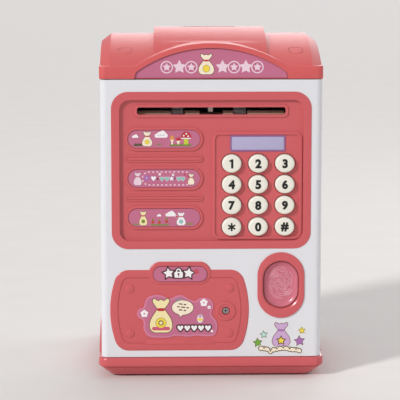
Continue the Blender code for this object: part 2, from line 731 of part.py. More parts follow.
def note_chute():
    """The frame that carries the feed: two cheeks, a floor for the note and a top rail."""
    feed_y, feed_z, _ = FEED
    floor = box(-48.0, 48.0, -56.9, -38.0, 157.4, 158.8)
    mesh = join(box(-48.5, -46.5, -56.9, -38.0, 152.0, 174.0),
                floor, box(46.5, 48.5, -56.9, -38.0, 152.0, 182.0),
                box(-48.0, 48.0, -56.9, -53.6, 172.0, 174.0))
    for x0, x1 in ((-5.6, -3.8), (3.4, 5.2)):
        mesh = join(mesh, box(x0, x1, LEVER[0] - 2.2, LEVER[0] + 2.0, 167.4, 173.0))
    windows = [box(x0 - 0.8, x1 + 0.8, feed_y - 5.5, feed_y + 5.5, 150, 165)
               for x0, x1 in ROLLERS]
    mesh = cut(mesh, *windows)
    trough = box(-46.4, 46.4, IDLER[0] - 1.7, IDLER[0] + 1.7, 155.0, 160.0)
    mesh = cut(mesh, trough)
    shafts = [cylinder(1.65, "X", -60, 60, feed_y, feed_z, 16),
              cylinder(1.35, "X", -60, 60, IDLER[0], IDLER[1], 16)]
    mesh = cut(mesh, *shafts)
    motor_y, motor_z = motor_axis()
    mesh = cut(mesh, cylinder(1.6, "X", 40, 60, motor_y, motor_z, 12),
               cylinder(1.1, "X", -10, 10, LEVER[0], LEVER[1], 12))
    return node("note_chute", mesh, "black_plastic")


def motor_axis():
    reach = (FEED_TEETH + PINION_TEETH) * TOOTH_MODULE / 2 + 0.06
    return FEED[0] + reach * math.cos(MESH_ANGLE), FEED[1] + reach * math.sin(MESH_ANGLE)


def shifted(points, u, v):
    return [(a + u, b + v) for a, b in points]


def feed_train():
    """Feed shaft with its rollers and gear, motor with its pinion, idler and note lever."""
    y, z, radius = FEED
    shaft = cylinder(1.5, "X", -50.0, 56.0, y, z, 16)
    shaft_node = node("feed_shaft", shaft, "steel", (0.0, y, z))
    for name, (x0, x1) in zip(("feed_roller_left", "feed_roller_right"), ROLLERS):
        roller = cylinder(radius, "X", x0, x1, y, z, ROUND)
        roller = cut(roller, cylinder(1.56, "X", x0 - 1, x1 + 1, y, z, 16))
        parent_to(node(name, roller, "grey_rubber", (0.0, y, z)), shaft_node)
    teeth = shifted(gear_outline(FEED_TEETH, TOOTH_MODULE, MESH_ANGLE), y, z)
    gear = prism([teeth, ellipse(y, z, 1.56, 1.56, 16)], "X", 50.5, 53.5)
    parent_to(node("feed_gear", gear, "nylon", (0.0, y, z)), shaft_node)

    motor_y, motor_z = motor_axis()
    body = cylinder(6.0, "X", 24.0, 46.0, motor_y, motor_z, ROUND)
    body = cut(body, cylinder(1.3, "X", 40.0, 50.0, motor_y, motor_z, 12))
    node("feed_motor", body, "steel")
    phase = MESH_ANGLE + math.pi + math.pi / PINION_TEETH
    teeth = shifted(gear_outline(PINION_TEETH, TOOTH_MODULE, phase), motor_y, motor_z)
    pinion = join(prism([teeth], "X", 50.6, 53.4),
                  cylinder(0.95, "X", 41.0, 51.0, motor_y, motor_z, 12))
    node("motor_pinion", pinion, "nylon", (0.0, motor_y, motor_z))

    y, z, radius = IDLER
    idler = cylinder(1.2, "X", -50.0, 50.0, y, z, 16)
    for x0, x1 in ROLLERS:
        idler = join(idler, cylinder(radius, "X", x0, x1, y, z, ROUND))
    node("idler_roller", idler, "grey_rubber", (0.0, y, z))

    arm = box(-1.7, 1.0, LEVER[0] - 0.7, LEVER[0] + 0.6, 160.4, 170.6)
    pivot = cylinder(0.95, "X", -6.2, 5.8, LEVER[0], LEVER[1], 12)
    node("note_lever", join(arm, pivot), "nylon", (0.0, LEVER[0], LEVER[1]))


def coin_chute():
    """The funnel under the coin slot."""
    mesh = box(-18.6, 18.6, -4.7, 4.7, 176.0, 205.3)
    mesh = join(mesh, box(-22.0, 22.0, -7.5, 7.5, 203.9, 205.3))
    mesh = cut(mesh, box(-17.0, 17.0, -3.1, 3.1, 170, 210))
    return node("coin_chute", mesh, "white_plastic")


# ---------------------------------------------------------------- back
def battery_bay():
    x0, x1, z0, z1 = BATTERY
    mesh = box(x0 - 1.6, x1 + 1.6, 38.4, 56.8, z0 - 2.0, z1 + 1.6)
    mesh = cut(mesh, box(x0, x1, 40.0, 60.0, z0 - 0.4, z1))
    return node("battery_box", mesh, "black_plastic")


def battery_door():
    x0, x1, z0, z1 = BATTERY
    plate = box(x0 + GAP, x1 - GAP, 57.4, BODY_Y - 0.1, z0 + GAP, z1 - GAP)
    plate = bevelled(plate, 0.4, 1)
    plate = cut(plate, cylinder(2.6, "Y", 58.5, 62.0, 0.0, 61.5, 16))
    plate = cut(plate, cylinder(1.5, "Y", 55.0, 60.0, 0.0, 61.5, 12))
    origin = (0.0, BATTERY_HINGE[0], BATTERY_HINGE[1])
    door = node("battery_door", plate, "white_plastic", origin)
    screw = join(cylinder(2.3, "Y", 58.7, 59.9, 0.0, 61.5, 16),
                 cylinder(1.2, "Y", 55.4, 59.0, 0.0, 61.5, 12))
    parent_to(node("battery_screw", screw, "steel"), door)


def rear_fittings():
    x, z = SWITCH
    knob = box(x - 5.0, x - 1.0, 56.0, 61.0, z - 2.0, z + 2.0)
    flange = box(x - 7.6, x + 1.6, 54.8, 56.6, z - 3.4, z + 3.4)
    node("power_switch", join(bevelled(knob, 0.4, 1), flange), "black_plastic", (x - 3.0, 58.0, z))
    cone = cylinder(14.5, "Y", 52.4, 56.7, SPEAKER[0], SPEAKER[1], ROUND)
    magnet = cylinder(7.0, "Y", 47.0, 52.8, SPEAKER[0], SPEAKER[1], 16)
    node("speaker", join(cone, magnet), "black_plastic")
    for (x, z), name in zip(SCREWS, ("case_screw_lower_left", "case_screw_lower_right",
                                     "case_screw_upper_left", "case_screw_upper_right")):
        screw = join(cylinder(2.8, "Y", 28.3, 30.4, x, z, 16),
                     cylinder(1.4, "Y", 9.0, 28.6, x, z, 12))
        node(name, screw, "steel")


# ---------------------------------------------------------------- the whole bank
clear_scene()
PARTS = new_collection("toy_savings_bank")
front_shell()
rear_shell()
roof_cover()
sign_label()
base_tray()
feet()
front_panel()
panel_labels()
display()
keys()
keypad_electronics()
fingerprint_bezel()
fingerprint_button()
main_board()
corner_label()
door_trim(door_panel())
latch()
cash_bin()
note_chute()
feed_train()
coin_chute()
battery_bay()
battery_door()
rear_fittings()
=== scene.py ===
"""Looks of the toy savings bank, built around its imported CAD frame.

Pieces are drawn in millimetres in the frame's own axes and written to the scene in metres.
+X is the bank's right seen from the front, -Y is the front, +Z is up.
"""
import random
from math import asin, copysign, cos, degrees, dist, pi, radians, sin, sqrt

import bmesh
import bpy
from mathutils import Matrix, Vector


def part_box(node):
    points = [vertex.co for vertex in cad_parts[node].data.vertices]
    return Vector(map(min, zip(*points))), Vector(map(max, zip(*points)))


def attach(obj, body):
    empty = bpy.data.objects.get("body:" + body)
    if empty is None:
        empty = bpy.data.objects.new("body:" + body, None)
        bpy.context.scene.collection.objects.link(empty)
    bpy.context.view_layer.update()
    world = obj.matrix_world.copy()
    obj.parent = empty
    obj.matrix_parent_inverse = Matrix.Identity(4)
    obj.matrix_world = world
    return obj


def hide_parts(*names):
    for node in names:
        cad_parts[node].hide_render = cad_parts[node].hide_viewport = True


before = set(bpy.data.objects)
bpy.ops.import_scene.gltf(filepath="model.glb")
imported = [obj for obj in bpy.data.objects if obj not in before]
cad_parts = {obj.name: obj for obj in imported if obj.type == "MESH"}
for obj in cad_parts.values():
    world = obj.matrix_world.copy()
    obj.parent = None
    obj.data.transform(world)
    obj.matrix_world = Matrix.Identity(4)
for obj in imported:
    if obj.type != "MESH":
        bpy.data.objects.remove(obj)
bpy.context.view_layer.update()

MM = 0.001
HOUSING = "housing"


def span(node):
    """A CAD node's low and high X, Y and Z, in millimetres."""
    low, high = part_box(node)
    return tuple(value / MM for pair in zip(low, high) for value in pair)


# ------------ sizes, millimetres
WALL = 2.4  # thickness of the moulded shells
GAP = 0.3  # clearance between neighbouring parts
FRONT_CUT = (-65.0, -50.0)  # Y reach of a cutter through the front wall
REAR_CUT = (50, 65)
AHEAD = -66.0  # Y where cutters begin, in front of everything
SHELL = span("front_shell")
REAR = span("rear_shell")
BASE = span("base_tray")
ROOF = span("roof_cover")
PANEL = span("front_panel")
BEZEL_BOX = span("fingerprint_bezel")

BODY_X = SHELL[1]
BODY_Y = -SHELL[2]
BODY_CORNER = 4.0
PANEL_OPENING = (-57.6, 57.6, 80.6, 171.0)
PANEL_TONGUE = (-57.3, 57.3, 80.9, 170.7)  # the panel's back, which fills that opening
FACE = -BODY_Y  # Y of the white front wall

FASCIA_HIGH = 187.9
BARREL_Y = 59.8  # half depth of the barrel where it meets the fascia
RIDGE_HIGH = 204.4
HIP_X = 60.0  # where the ridge ends and the hips begin
HIP_END = (66.0, 51.2, 199.8)  # X, half depth and crown of the barrel's end faces
BLOCK_X = 33.75  # half width of the raised middle block
PEDIMENT = (46.5, 187.0, 201.5)  # half width, height of the ends and of the crown
PEDIMENT_BACK = -30.0
SIGN_ARCH = (44.3, 184.4, 198.3)  # half width, shoulder and crown of the sign's recess
SIGN_HALF = 45.4  # half width of its foot
SIGN_LOW = 180.9
SIGN_BED = -58.9  # Y of its floor
COIN_SLOT = (32.0, 4.8)  # length and width
ROOF_MARK = (51.0, -43.0, 4.5)  # X, Y and radius of the round grooves

PANEL_CORNER = 10.0
PANEL_RIM = 4.8
PANEL_FRONT = PANEL[2]
PANEL_FLOOR = PANEL_FRONT + 1.8
PANEL_BACK = PANEL[3]
NOTE_SLOT = (-44.1, 44.1, 159.1, 163.5)  # this and the other boxes: low X, high X, low Z, high Z
LABEL_X = (-49.55, -6.5)
LABEL_ROWS = {"label_upper": (139.2, 150.0), "label_middle": (115.6, 126.6),
              "label_lower": (92.0, 103.0)}
RIB_X = (-51.7, -4.8)
RIB_ROWS = ((130.6, 135.2), (107.2, 111.4))
KEYPAD_FRAME = (0.5, 54.3, 84.2, 148.9)
LCD = (11.4, 43.9, 137.3, 146.5)
KEY_NAMES = {"key_%d" % number: str(number) for number in range(1, 10)}
KEY_NAMES.update(key_star="*", key_0="0", key_hash="#")
KEY_RX = 5.8  # half width and half height of a key
KEY_RZ = 5.4
KEY_PROFILE = ((0.05, 0.02), (0.0, 0.55), (0.02, 0.80), (0.14, 0.90), (0.42, 0.965), (0.95, 1.0))
KEY_WELL = ((-50.0, 0.35), (PANEL_FLOOR + 0.5, 0.35), (PANEL_FLOOR - 0.05, 0.85), (-65.0, 0.85))
KEY_FLANGE = (-57.0, -56.2)  # reach in Y of the flange behind the panel, and of the stem
KEY_STEM = (-56.4, -55.7)
DIGIT_HIGH = 5.5

DOOR_SIDES = (-60.85, 22.8)
DOOR_HEIGHTS = (16.7, 66.3)
DOOR_BOW = 60.0  # radius of the bowed sides
DOOR_CORNER = 9.0
DOOR_FRONT = -61.9
DOOR_BACK = -59.8
TAB = (-37.3, -0.1, 57.2, 71.1)
TAB_FRONT = -62.3
TAB_LABEL = (-34.7, -2.7, 59.3, 68.2)
HINGE = (-59.8, -60.75)  # X and Y of the hinge line
HINGE_LUG = (40.6, 42.4)  # low and high Z of the body's lug and of the pin
HINGE_PIN = (38.0, 45.0)
HINGE_HOLE = 0.48
LOCK = (8.7, 41.0)
HEX_BOSSES = ((-48.7, 55.0), (-48.8, 27.6), (11.0, 55.2), (10.6, 27.6))

BEZEL = (27.7, 55.8, 36.65, 76.6)
BEZEL_HOLE = (31.4, 52.4, 42.7, 70.8)
PRINT = (42.1, 57.5, 7.7, 10.1)  # centre X, Z and half sizes of the fingerprint pattern
SCREWS = ((-57.0, 84.0), (57.0, 84.0), (-57.0, 168.0), (57.0, 168.0))
SCREW_BLOCK = 4.5  # half width of the front shell's block, and radius of the rear shell's post
SCREW_POST = 4.6
SCREW_PILOT = (1.7, 7.0, 30.0)  # radius and reach in Y of the hole for the thread, head and shank
SCREW_HEAD = (3.3, 28.0, 65.0)
SCREW_SHANK = (1.8, 18.0, 30.0)
SPEAKER = (-34.0, 122.0)
SPEAKER_REACH = 13.0  # radius of the field of slots
SPEAKER_RIM = 15.0
SPEAKER_PITCH = 4.4
SWITCH = (40.0, 100.0)
BATTERY = (-27.0, 27.0, 20.0, 66.0)
ROUND = 64  # sides of a round outline

CORAL = (213, 85, 89)
ROOF_CORAL = (212, 90, 90)
WHITE = (226, 226, 229)
CREAM = (236, 232, 219)
LABEL_PINK = (194, 108, 138)
CHUTE_BROWN = (190, 156, 134)
INK = {
    "white": (244, 240, 240), "cream": (243, 228, 172), "red": (190, 40, 52),
    "green": (112, 142, 48), "brown": (92, 58, 44), "yellow": (240, 214, 70),
    "orange": (226, 150, 70), "teal": (140, 196, 186), "violet": (170, 110, 176),
    "lilac": (204, 168, 206), "rose": (206, 88, 118), "dark": (74, 34, 44), "pale": (236, 208, 220),
    "leaf": (118, 170, 58), "sand": (246, 232, 206), "mint": (186, 222, 208),
    "stone": (150, 134, 146), "dark_green": (62, 78, 34), "lime": (196, 206, 62),
    "brick": (196, 62, 44), "mauve_ring": (192, 104, 138), "halo": (228, 226, 222),
    "slate": (84, 108, 104), "plum": (112, 78, 104), "olive": (150, 134, 44), "umber": (84, 60, 44),
}


# ------------ materials
def linear(channel):
    value = channel / 255.0
    return value / 12.92 if value <= 0.04045 else ((value + 0.055) / 1.055) ** 2.4


def colour_of(rgb, gain=1.0):
    return tuple(min(1.0, linear(c) * gain) for c in rgb) + (1.0,)


def node_in(tree, kind, **values):
    made = tree.nodes.new(kind)
    for name, value in values.items():
        made.inputs[name.replace("_", " ")].default_value = value
    return made


def noise(tree, place, scale, detail=2.0):
    made = node_in(tree, "ShaderNodeTexNoise", Scale=scale, Detail=detail)
    tree.links.new(place.outputs["Object"], made.inputs["Vector"])
    return made


def ramp(tree, source, low, high, start=0.0, stop=1.0):
    """Map the range from start to stop onto the range from low to high."""
    made = node_in(tree, "ShaderNodeMapRange", From_Min=start, From_Max=stop, To_Min=low, To_Max=high)
    tree.links.new(source, made.inputs["Value"])
    return made.outputs["Result"]


def blend_colours(tree, factor, first, second):
    made = tree.nodes.new("ShaderNodeMix")
    made.data_type = "RGBA"
    tree.links.new(factor, made.inputs["Factor"])
    for socket, value in (("A", first), ("B", second)):
        target = [s for s in made.inputs if s.name == socket and s.type == "RGBA"][0]
        if isinstance(value, tuple):
            target.default_value = value
        else:
            tree.links.new(value, target)
    return [s for s in made.outputs if s.type == "RGBA"][0]


def edge_mask(tree, radius):
    """High along edges: where a rounded normal leaves the true one."""
    bevel = node_in(tree, "ShaderNodeBevel", Radius=radius)
    bevel.samples = 4
    geometry = tree.nodes.new("ShaderNodeNewGeometry")
    dot = tree.nodes.new("ShaderNodeVectorMath")
    dot.operation = "DOT_PRODUCT"
    tree.links.new(bevel.outputs["Normal"], dot.inputs[0])
    tree.links.new(geometry.outputs["Normal"], dot.inputs[1])
    return ramp(tree, dot.outputs["Value"], 0.0, 1.0, 0.99, 0.80)


def surface(name, rgb, roughness, metallic=0.0, mottle=0.05, grain=1800.0, bump=0.04, edge_highlight=0.0,
            coat=0.0, glow=0.0, specular=0.5):
    """A moulded, printed or drawn surface: colour drift, roughness drift, fine grain, and a painted
    highlight along its edges.
    """
    made = bpy.data.materials.get(name)
    if made:
        return made
    made = bpy.data.materials.new(name)
    made.use_nodes = True
    tree = made.node_tree
    shader = tree.nodes["Principled BSDF"]
    place = tree.nodes.new("ShaderNodeTexCoord")
    drift = noise(tree, place, 28.0, 3.0)
    base = blend_colours(tree, drift.outputs["Fac"], colour_of(rgb, 1.0 - mottle),
                         colour_of(rgb, 1.0 + mottle))
    # painted highlight: edges are blended towards white, standing in for light caught by rounded edges
    if edge_highlight:
        lit_edges = ramp(tree, edge_mask(tree, 0.0006), 0.0, edge_highlight)
        base = blend_colours(tree, lit_edges, base, colour_of([c + (255 - c) * 0.45 for c in rgb]))
    tree.links.new(base, shader.inputs["Base Color"])
    fine = noise(tree, place, 420.0, 4.0)
    tree.links.new(ramp(tree, fine.outputs["Fac"], roughness - 0.06, roughness + 0.06),
                   shader.inputs["Roughness"])
    if bump:
        texture = noise(tree, place, grain, 2.0)
        relief = node_in(tree, "ShaderNodeBump", Strength=bump, Distance=0.0003)
        tree.links.new(texture.outputs["Fac"], relief.inputs["Height"])
        tree.links.new(relief.outputs["Normal"], shader.inputs["Normal"])
    fixed = {"Metallic": metallic, "Coat Weight": coat, "Coat Roughness": 0.15,
             "Specular IOR Level": specular}
    if glow:
        fixed.update({"Subsurface Weight": glow, "Subsurface Radius": (0.004, 0.002, 0.002)})
    for socket, value in fixed.items():
        shader.inputs[socket].default_value = value
    return made


# material name, colour and roughness, with what sets each surface apart
# the edge option in these sets how strongly a painted highlight lightens each surface's edges
FINISHES = {
    "coral": ("coral_plastic", CORAL, 0.40, {"edge_highlight": 0.35}),
    "roof": ("coral_roof", ROOF_CORAL, 0.44, {"edge_highlight": 0.35}),
    "white": ("white_plastic", WHITE, 0.36, {"mottle": 0.02, "edge_highlight": 0.3}),
    "cream": ("cream_plastic", CREAM, 0.38, {"mottle": 0.03, "edge_highlight": 0.4}),
    "lilac": ("lilac_lens", (180, 174, 208), 0.22, {"mottle": 0.03, "bump": 0.0, "coat": 0.4}),
    "purple": ("purple_border", (156, 100, 150), 0.35, {"mottle": 0.06, "bump": 0.0}),
    "lens": ("pink_lens", (176, 84, 110), 0.28, {"mottle": 0.06, "bump": 0.02, "glow": 0.25,
                                                 "coat": 0.3}),
    "ridge": ("print_ridges", (232, 164, 182), 0.35, {"mottle": 0.06, "bump": 0.02}),
    "speck": ("print_specks", (128, 58, 80), 0.4, {"mottle": 0.06, "bump": 0.0}),
    "rubber": ("grey_rubber", (118, 116, 118), 0.8, {"mottle": 0.10, "bump": 0.15}),
    "roller": ("roller_rubber", (204, 200, 202), 0.7, {"mottle": 0.10, "bump": 0.15}),
    "black": ("black_plastic", (44, 40, 42), 0.5, {"mottle": 0.12, "edge_highlight": 0.3}),
    "chute": ("brown_plastic", CHUTE_BROWN, 0.55, {"mottle": 0.10, "edge_highlight": 0.2}),
    "guide": ("brown_guide", CHUTE_BROWN, 0.5, {"mottle": 0.08}),
    "board": ("solder_mask", (36, 98, 64), 0.4, {"mottle": 0.15, "grain": 700.0, "bump": 0.1}),
    "steel": ("plain_steel", (178, 176, 176), 0.3, {"metallic": 1.0, "mottle": 0.08,
                                                    "grain": 900.0}),
    "nylon": ("nylon", (244, 242, 234), 0.45, {}),
    "digit": ("digit_ink", (9, 8, 9), 0.4, {"mottle": 0.1, "bump": 0.0}),
    "label": ("label_print", LABEL_PINK, 0.4, {"bump": 0.01}),
    # this lighter pink is a painted highlight along the door sticker's edge
    "label_edge_highlight": ("label_edge_highlight", (212, 128, 158), 0.4, {"bump": 0.01}),
    "floor": ("pale_floor", (226, 222, 219), 0.85, {"mottle": 0.03, "grain": 300.0,
                                                    "specular": 0.1}),
}
for ink, shade in INK.items():
    FINISHES["ink_" + ink] = ("ink_" + ink, shade, 0.42, {"mottle": 0.03, "bump": 0.0})


def material(finish):
    name, rgb, roughness, options = FINISHES[finish]
    return surface(name, rgb, roughness, **options)


# ------------ meshes, drawn in millimetres
def mesh_of(work, mesh=None):
    mesh = mesh or bpy.data.meshes.new("drawn")
    work.to_mesh(mesh)
    work.free()
    return mesh


def linked(data, name="temporary"):
    obj = bpy.data.objects.new(name, data)
    bpy.context.scene.collection.objects.link(obj)
    return obj


def drawn(obj, *helpers):
    """The mesh that a temporary object makes, after which it and its helpers go."""
    graph = bpy.context.evaluated_depsgraph_get()
    mesh = bpy.data.meshes.new_from_object(obj.evaluated_get(graph))
    for used in (obj, *helpers):
        bpy.data.objects.remove(used)
    mesh.materials.clear()
    return mesh


def tidy(mesh, weld=0.0005):
    work = bmesh.new()
    work.from_mesh(mesh)
    bmesh.ops.remove_doubles(work, verts=work.verts, dist=weld)
    bmesh.ops.recalc_face_normals(work, faces=work.faces)
    return mesh_of(work, mesh)


AXES = {
    "X": Matrix(((0, 0, 1, 0), (1, 0, 0, 0), (0, 1, 0, 0), (0, 0, 0, 1))),
    "Y": Matrix(((1, 0, 0, 0), (0, 0, -1, 0), (0, 1, 0, 0), (0, 0, 0, 1))),
    "Z": Matrix.Identity(4),
}


def prism(loops, axis, low, high):
    """A flat outline, with holes where it has more loops, carried from low to high along an axis."""
    curve = bpy.data.curves.new("outline", "CURVE")
    curve.dimensions = "2D"
    curve.fill_mode = "BOTH"
    curve.extrude = (high - low) / 2
    for loop in loops:
        spline = curve.splines.new("POLY")
        spline.points.add(len(loop) - 1)
        for point, place in zip(spline.points, loop):
            point.co = (*place, 0.0, 1.0)
        spline.use_cyclic_u = True
    mesh = drawn(linked(curve))
    middle = (low + high) / 2
    if axis == "Y":
        middle = -middle
    mesh.transform(AXES[axis] @ Matrix.Translation((0, 0, middle)))
    return tidy(mesh)


def ring_xz(outline, y):
    return [(u, y, v) for u, v in outline]


def ring_xy(outline, z):
    return [(u, v, z) for u, v in outline]


def slab(outline, front, back):
    """A solid outline in XZ with one face for its front, so that its rim takes an even bevel."""
    return loft([ring_xz(outline, back), ring_xz(outline, front)])


def plate(outline, front, back, edge, segments=3):
    return bevelled(slab(outline, front, back), edge, segments)


def box(x0, x1, y0, y1, z0, z1):
    work = bmesh.new()
    bmesh.ops.create_cube(work, size=1.0)
    size = Matrix.Diagonal((x1 - x0, y1 - y0, z1 - z0, 1.0))
    work.transform(Matrix.Translation(((x0 + x1) / 2, (y0 + y1) / 2, (z0 + z1) / 2)) @ size)
    return mesh_of(work)


def cylinder(radius, axis, low, high, u, v, sides=ROUND):
    """A round bar along Y or Z, its centre line at (u, v) on the other two axes."""
    work = bmesh.new()
    bmesh.ops.create_cone(work, cap_ends=True, segments=sides, radius1=radius, radius2=radius,
                          depth=high - low)
    middle = (low + high) / 2
    if axis == "Y":
        work.transform(Matrix.Rotation(radians(-90), 4, "X"))
    work.transform(Matrix.Translation((u, middle, v) if axis == "Y" else (u, v, middle)))
    return mesh_of(work)


def loft(rings):
    """Skin rings of equal point count, closed with a cap at each end."""
    work = bmesh.new()
    rows = [[work.verts.new(point) for point in ring] for ring in rings]
    count = len(rows[0])
    for lower, upper in zip(rows, rows[1:]):
        for i in range(count):
            j = (i + 1) % count
            work.faces.new((lower[i], lower[j], upper[j], upper[i]))
    work.faces.new(rows[0])
    work.faces.new(rows[-1])
    return tidy(mesh_of(work))


def merged(meshes):
    work = bmesh.new()
    for mesh in meshes:
        work.from_mesh(mesh)
        bpy.data.meshes.remove(mesh)
    return mesh_of(work)


def boolean(target, tools, operation):
    obj = linked(target)
    tool = linked(merged(tools))
    modifier = obj.modifiers.new("boolean", "BOOLEAN")
    modifier.operation = operation
    modifier.solver = "EXACT"
    modifier.object = tool
    return tidy(drawn(obj, tool))


def cut(target, *tools):
    return boolean(target, tools, "DIFFERENCE")


def join(target, *tools):
    for tool in tools:
        target = boolean(target, [tool], "UNION")
    return target


def bevelled(mesh, width, segments=3, angle=35.0):
    obj = linked(mesh)
    modifier = obj.modifiers.new("bevel", "BEVEL")
    modifier.width = width
    modifier.segments = segments
    modifier.limit_method = "ANGLE"
    modifier.angle_limit = radians(angle)
    modifier.miter_outer = "MITER_ARC"
    return tidy(drawn(obj), 0.0001)


# ------------ outlines
def around(u, v, radius_u, radius_v, turn):
    angle = radians(turn)
    return u + radius_u * cos(angle), v + radius_v * sin(angle)


def arc(u, v, radius_u, radius_v, start, end, steps):
    return [around(u, v, radius_u, radius_v, start + (end - start) * i / steps)
            for i in range(steps + 1)]


def without_repeats(points):
    kept = []
    for point in points:
        if not kept or dist(point, kept[-1]) > 0.004:
            kept.append(point)
    if dist(kept[0], kept[-1]) < 0.004:
        kept.pop()
    return kept


def rounded(u0, u1, v0, v1, radius, steps=10):
    corners = ((u1 - radius, v0 + radius, -90), (u1 - radius, v1 - radius, 0),
               (u0 + radius, v1 - radius, 90), (u0 + radius, v0 + radius, 180))
    points = []
    for u, v, start in corners:
        points += arc(u, v, radius, radius, start, start + 90, steps)
    return without_repeats(points)


def grown(bounds, by):
    u0, u1, v0, v1 = bounds
    return u0 - by, u1 + by, v0 - by, v1 + by


def stadium(bounds, steps=16):
    u0, u1, v0, v1 = bounds
    return rounded(u0, u1, v0, v1, min(u1 - u0, v1 - v0) / 2 - 0.001, steps)


def ellipse(u, v, radius_u, radius_v, sides=ROUND):
    return arc(u, v, radius_u, radius_v, 0, 360, sides)[:-1]


def segment_arch(half, low, high, steps=48):
    rise = high - low
    radius = (half * half + rise * rise) / (2 * rise)
    reach = degrees(asin(half / radius))
    return arc(0, high - radius, radius, radius, 90 - reach, 90 + reach, steps)


def door_outline(grow=0.0, steps=12):
    """Flat top and bottom, gently bowed sides and round corners, each arc tangent to the next."""
    bow, corner = DOOR_BOW + grow, DOOR_CORNER + grow
    rise = (DOOR_HEIGHTS[1] - DOOR_HEIGHTS[0]) / 2 + grow - corner
    reach = degrees(asin(rise / (bow - corner)))
    half = (DOOR_SIDES[1] - DOOR_SIDES[0]) / 2 + grow
    middle = (DOOR_SIDES[0] + DOOR_SIDES[1]) / 2
    middle_z = (DOOR_HEIGHTS[0] + DOOR_HEIGHTS[1]) / 2
    centre = half - bow
    inset = centre + sqrt((bow - corner) ** 2 - rise ** 2)
    right = arc(inset, -rise, corner, corner, -90, -reach, steps)
    right += arc(centre, 0, bow, bow, -reach, reach, 2 * steps)
    right += arc(inset, rise, corner, corner, reach, 90, steps)
    points = right + [(-u, -v) for u, v in right]
    return without_repeats([(middle + u, middle_z + v) for u, v in points])


# ------------ pieces
def piece(name, mesh, finish, body, slot, *replaced, smooth=32.0):
    """Put a finished mesh in the scene in metres, riding on a body, standing for CAD nodes."""
    mesh.transform(Matrix.Scale(MM, 4))
    mesh.name = name
    mesh.shade_smooth()
    mesh.set_sharp_from_angle(angle=radians(smooth))
    mesh.materials.clear()
    mesh.materials.append(material(finish))
    obj = linked(mesh, name)
    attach(obj, body)
    if replaced:
        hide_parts(*replaced)


def body_ring(low, high):
    outer = rounded(-BODY_X, BODY_X, -BODY_Y, BODY_Y, BODY_CORNER, 12)
    inner = rounded(-BODY_X + WALL, BODY_X - WALL, -BODY_Y + WALL, BODY_Y - WALL, 2.2, 6)
    return prism([outer, inner], "Z", low, high)


def screw_bars(radius, low, high, sides):
    return [cylinder(radius, "Y", low, high, x, z, sides) for x, z in SCREWS]


def front_shell():
    mesh = body_ring(SHELL[4], SHELL[5])
    mesh = cut(mesh, box(-70, 70, SHELL[3], 70, 0, 200))
    for x, z in SCREWS:
        side = copysign(1.0, x)
        reach = sorted((x - side * SCREW_BLOCK, side * (BODY_X - WALL + 0.4)))
        mesh = join(mesh, box(*reach, 4.0, SHELL[3], z - SCREW_BLOCK, z + SCREW_BLOCK))
    panel = slab(rounded(*PANEL_OPENING, 8.0), *FRONT_CUT)
    door = slab(door_outline(-2.0), *FRONT_CUT)
    bezel = slab(stadium(grown(BEZEL, -2.0)), *FRONT_CUT)
    mesh = cut(mesh, panel, door, bezel)
    mesh = cut(mesh, *screw_bars(*SCREW_PILOT, 24))
    lug = join(box(HINGE[0] - 0.7, HINGE[0] + 0.7, HINGE[1], FACE + 1.0, *HINGE_LUG),
               cylinder(0.75, "Z", *HINGE_LUG, *HINGE, 24))
    mesh = join(mesh, cut(lug, cylinder(HINGE_HOLE, "Z", 30.0, 50.0, *HINGE, 16)))
    piece("body_front", mesh, "white", HOUSING, "white_plastic", "front_shell")


def rear_shell():
    mesh = body_ring(REAR[4], REAR[5])
    mesh = cut(mesh, box(-70, 70, -70, REAR[2], 0, 200))
    mesh = join(mesh, *screw_bars(SCREW_POST, REAR[2], BODY_Y - 1.0, 32))
    slots = []
    for i in range(6):
        z = SPEAKER[1] + (i - 2.5) * SPEAKER_PITCH
        half = sqrt(SPEAKER_REACH ** 2 - (z - SPEAKER[1]) ** 2)
        bounds = (SPEAKER[0] - half, SPEAKER[0] + half, z - 0.9, z + 0.9)
        slots.append(slab(stadium(bounds, 8), *REAR_CUT))
    battery = box(BATTERY[0], BATTERY[1], *REAR_CUT, BATTERY[2] - 0.4, BATTERY[3])
    switch = box(SWITCH[0] - 5.4, SWITCH[0] + 5.4, *REAR_CUT, SWITCH[1] - 2.4, SWITCH[1] + 2.4)
    mesh = cut(mesh, battery, switch, *slots)
    mesh = cut(mesh, *screw_bars(*SCREW_HEAD, 32))
    mesh = cut(mesh, *screw_bars(*SCREW_SHANK, 24))
    rim = (SPEAKER[0] - SPEAKER_RIM, SPEAKER[0] + SPEAKER_RIM, SPEAKER[1] - SPEAKER_RIM,
           SPEAKER[1] + SPEAKER_RIM)
    loops = [rounded(*grown(rim, 0.6), 15.0), rounded(*grown(rim, -0.3), 14.2)]
    mesh = join(mesh, prism(loops, "Y", BODY_Y - 0.5, BODY_Y + 0.35))
    piece("body_rear", mesh, "white", HOUSING, "white_plastic", "rear_shell")


def roof_section(x, half_depth, low, fascia, crown):
    """One section of the roof across its length: a shallow arch over an upright skirt."""
    outline = [(-half_depth, low), (half_depth, low)] + segment_arch(half_depth, fascia, crown, 64)
    return [(x, y, z) for y, z in outline]


def barrel(low, thinner=0.0):
    """The barrel roof with hipped ends, or with thinner set, the hollow under it."""
    foot = 2.0 * thinner
    end_x, hip_x = HIP_END[0] - thinner, HIP_X - 0.6 * thinner
    end = (HIP_END[1] - foot, low, FASCIA_HIGH, HIP_END[2] - thinner)
    middle = (BARREL_Y - foot, low, FASCIA_HIGH, RIDGE_HIGH - thinner)
    return loft([roof_section(-end_x, *end), roof_section(-hip_x, *middle),
                 roof_section(hip_x, *middle), roof_section(end_x, *end)])


def roof_plan(low, high, inset, corner):
    outline = rounded(*grown(ROOF[:4], -inset), corner)
    return loft([ring_xy(outline, low), ring_xy(outline, high)])


